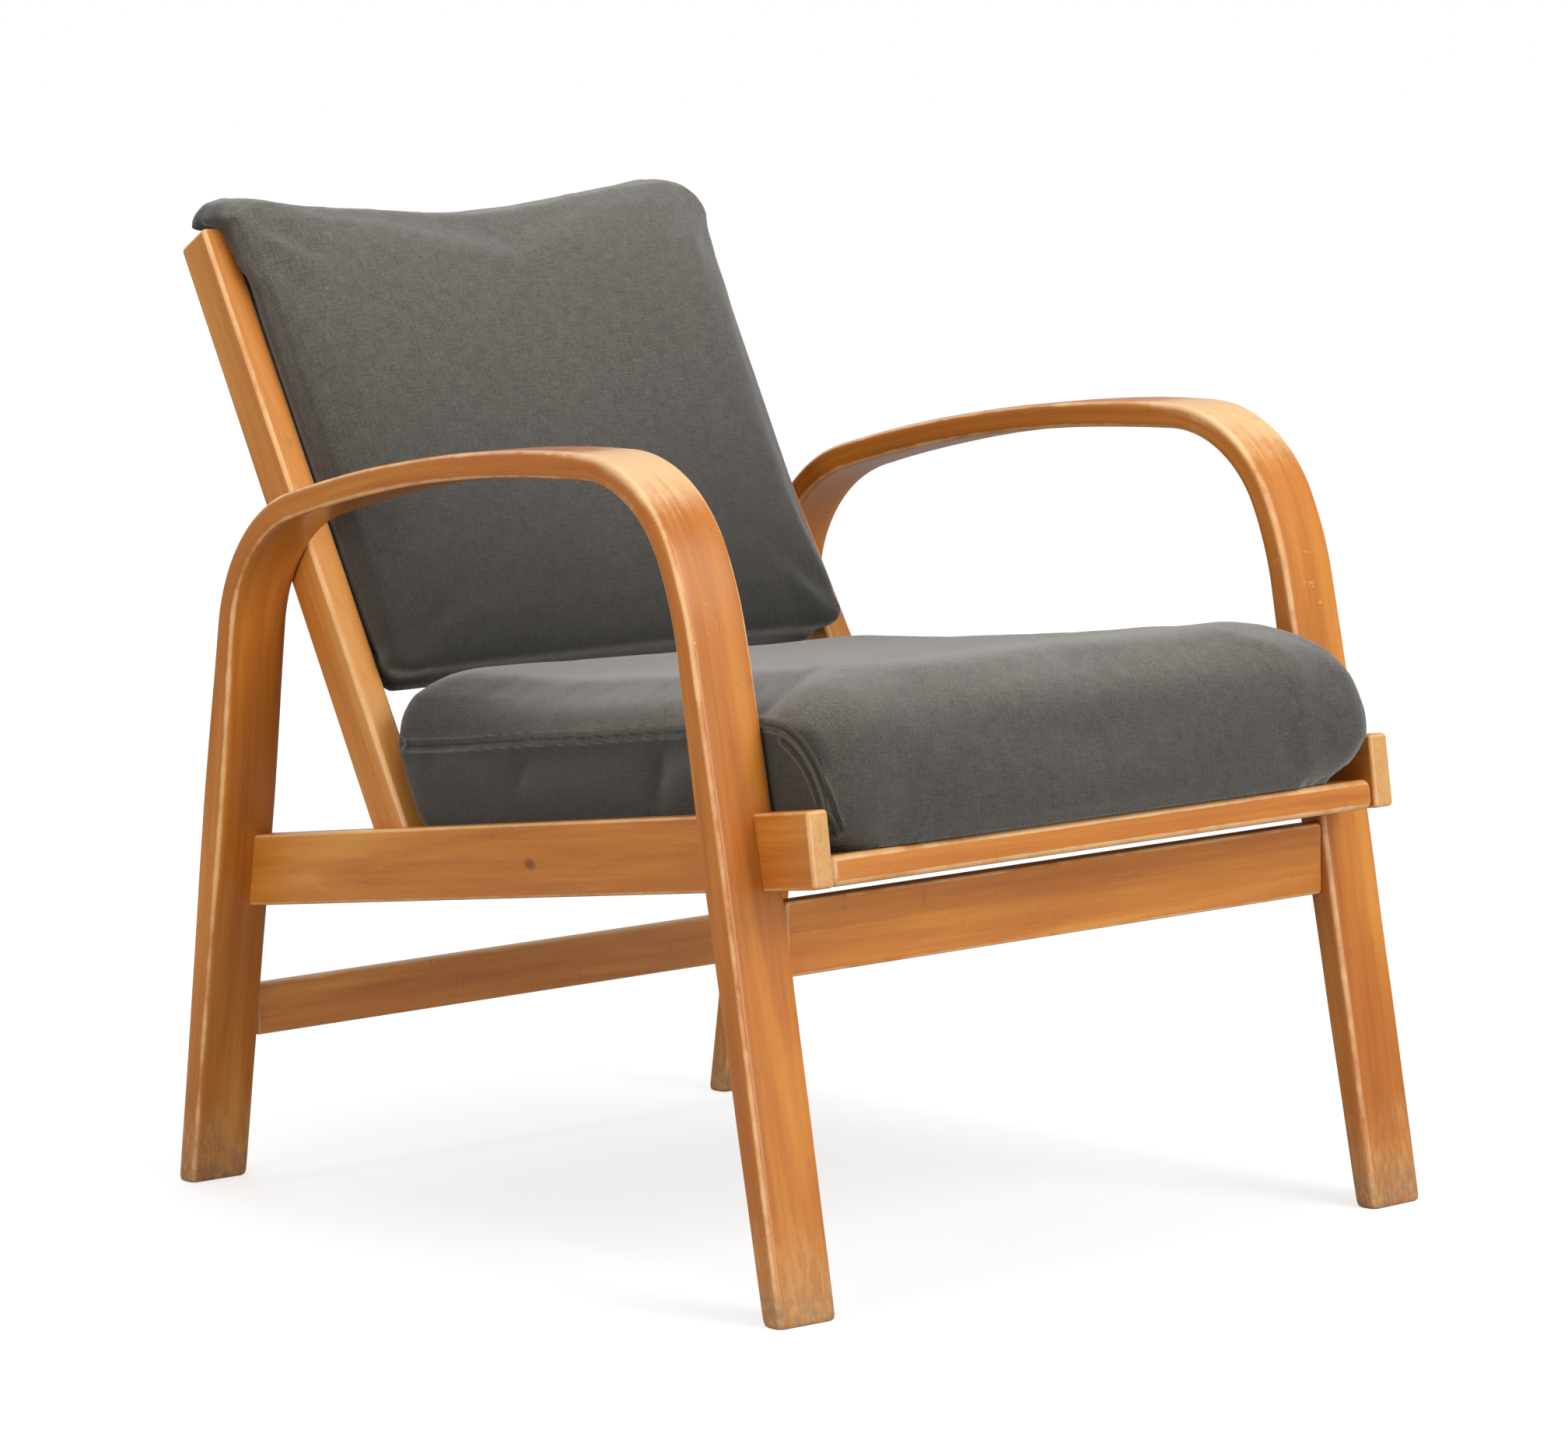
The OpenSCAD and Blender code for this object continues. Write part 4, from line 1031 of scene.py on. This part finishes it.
def deepened(points):
    """The core's rear drawn back to where the pad's own back lies."""
    x, b, v = plane_parts(points, *BACK_PLANE)
    b = np.where(b > 0, b * PAD_BACK / CORE_BACK, b)
    return plane_points(x, b, v, *BACK_PLANE)


def back_pad():
    obj = voxel_copy("back_pad_wool", "back_pad_core", deepened)
    mesh = obj.data
    start = get_points(mesh)
    x, b, v = plane_parts(start, *BACK_PLANE)
    held = b > 0.006
    # Swells in front, less at the lower and upper edges
    front, low, high = ramp(b, -0.002, -0.014), ramp(v, 0.18, 0.26), ramp(v, 0.5, 0.55)
    cap = PAD_SWELL + 0.0042 * front * low * (1 - 0.9 * high)
    points = inflated(obj, held, cap)
    normals = get_points(mesh, "normal")
    points = np.where(held[:, None], start + normals * HELD_SWELL, points)
    points = relaxed(mesh, points, 2, np.where(held, 0.2, np.minimum(low, 1 - high) * 0.7 + 0.3))
    points = evened(mesh, points, 10, np.where(held, 0.2, 1.0))
    x, b, v = plane_parts(points, *BACK_PLANE)
    # Top edge: an ear over each post and a dip between them, as worn
    upper = ramp(v, 0.55, 0.575)
    v += upper * 0.0062 * hump(np.abs(x), 0.222, 0.03)
    v -= upper * 0.0034 * hump(np.abs(x), 0.15, 0.06)
    v -= upper * 0.0034 * hump(x, -0.1, 0.07)
    v += upper * 0.0075 * hump(x, -0.2, 0.035)
    v += upper * (0.0018 * ramp(x, -0.08, 0) + 0.0032 * hump(x, 0.17, 0.07))
    # Filled lower corners, and the far side spread over its post
    x += np.sign(x) * 0.005 * hump(v, 0.181, 0.012) * hump(np.abs(x), 0.215, 0.014)
    x += np.where(b < LAPPED, ramp(x, 0.1, 0.22) * widened(v), 0)
    set_points(mesh, back_limits(plane_points(x, b, v, *BACK_PLANE)))
    mesh = subdivided(obj)
    points = back_limits(get_points(mesh))
    set_points(mesh, points)
    # A shallow seam where the front meets the sides, marked for painted shade
    x, b, v = plane_parts(points, *BACK_PLANE)
    above = ramp(v, 0.25, 0.4)
    sink = RIM_DEPTH * above * hump(b, PAD_RIM, 0.002)
    store(mesh, "seam", 0.55 * above * hump(b, PAD_RIM, 0.0014))
    points = back_limits(points - get_points(mesh, "normal") * sink[:, None])
    set_points(mesh, points)
    # Painted shade: the cloth darker low down and round the sides
    x, b, v = plane_parts(points, *BACK_PLANE)
    lower = ramp(v, 0.6, 0.18) * (0.78 + 0.14 * ramp(np.abs(x), 0, 0.2))
    border = ramp(b, -0.019, -0.009) * 0.6
    finished(mesh, back_wool, np.maximum(lower, border))
    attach(obj, BODY)
    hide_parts("back_pad_cover", "back_pad_core", "back_pad_rear_cloth", "back_pad_board")


seat_cushion()
back_pad()


# Floor, world and studio light: the sweep is white to the camera and dimmer as a source
FLOOR_HALF = 20


def seen_white(tree, dim, white):
    path = tree.nodes.new("ShaderNodeLightPath")
    node = tree.nodes.new("ShaderNodeMixShader")
    tree.links.new(path.outputs["Is Camera Ray"], node.inputs[0])
    tree.links.new(dim, node.inputs[1])
    tree.links.new(white, node.inputs[2])
    return node.outputs[0]


def floor():
    bm = bmesh.new()
    bmesh.ops.create_grid(bm, x_segments=24, y_segments=24, size=FLOOR_HALF)
    mesh = bpy.data.meshes.new("floor")
    bm.to_mesh(mesh)
    bm.free()
    material, tree, shader = new_material("floor_white")
    place = object_place(tree)
    cloud = noise(tree, place, (2, 2, 2), 2)
    tree.links.new(blended(tree, cloud, (0.38, 0.38, 0.378), (0.4, 0.4, 0.4)),
                   shader.inputs["Base Color"])
    shader.inputs["Roughness"].default_value = 0.9
    shader.inputs["Specular IOR Level"].default_value = 0.1
    glow = tree.nodes.new("ShaderNodeEmission")
    x, y = split(tree, place)[:2]
    far = (x * x + y * y).ease(1.5, 16.0)
    tree.links.new((far * 0.16 + 0.68).out, glow.inputs["Strength"])
    added = tree.nodes.new("ShaderNodeAddShader")
    tree.links.new(shader.outputs[0], added.inputs[0])
    tree.links.new(glow.outputs[0], added.inputs[1])
    shown = seen_white(tree, shader.outputs[0], added.outputs[0])
    tree.links.new(shown, tree.nodes["Material Output"].inputs["Surface"])
    add_object("floor", mesh, material, None)


# Each light's name, place, target, width, power and colour
LIGHTS = (("key", (0.8, -2.9, 2.4), (0, 0, 0.35), 1.8, 56, (1, 0.985, 0.96)),
          ("front", (0.2, -3.3, 0.75), (0, 0, 0.3), 1.5, 31, (1, 0.99, 0.97)),
          ("top", (-0.1, 0.1, 3.5), (0, 0, 0.4), 2.2, 45, (1, 1, 1)),
          ("rear", (0.9, 3.3, 2.0), (0, 0, 0.4), 2.0, 14, (1, 1, 1)),
          ("fill", (-3.4, -0.6, 1.1), (0, 0, 0.35), 1.8, 41, (1, 0.94, 0.85)))


def area_light(name, place, target, size, power, colour):
    data = bpy.data.lights.new(name, "AREA")
    data.shape, data.size, data.energy, data.color = "DISK", size, power, colour
    light = bpy.data.objects.new(name, data)
    light.location = place
    light.rotation_mode = "QUATERNION"
    light.rotation_quaternion = (Vector(target) - Vector(place)).to_track_quat("-Z", "Y")
    scene.collection.objects.link(light)


def studio():
    world = bpy.data.worlds.new("studio")
    scene.world = world
    world.use_nodes = True
    tree = world.node_tree
    sky = tree.nodes["Background"]
    sky.inputs["Color"].default_value = (1, 1, 1, 1)
    sky.inputs["Strength"].default_value = 0.5
    white = tree.nodes.new("ShaderNodeBackground")
    white.inputs["Strength"].default_value = 1.0
    white.inputs["Color"].default_value = (1, 1, 1, 1)
    tree.links.new(seen_white(tree, sky.outputs[0], white.outputs[0]),
                   tree.nodes["World Output"].inputs["Surface"])
    for light in LIGHTS:
        area_light(*light)


floor()
studio()
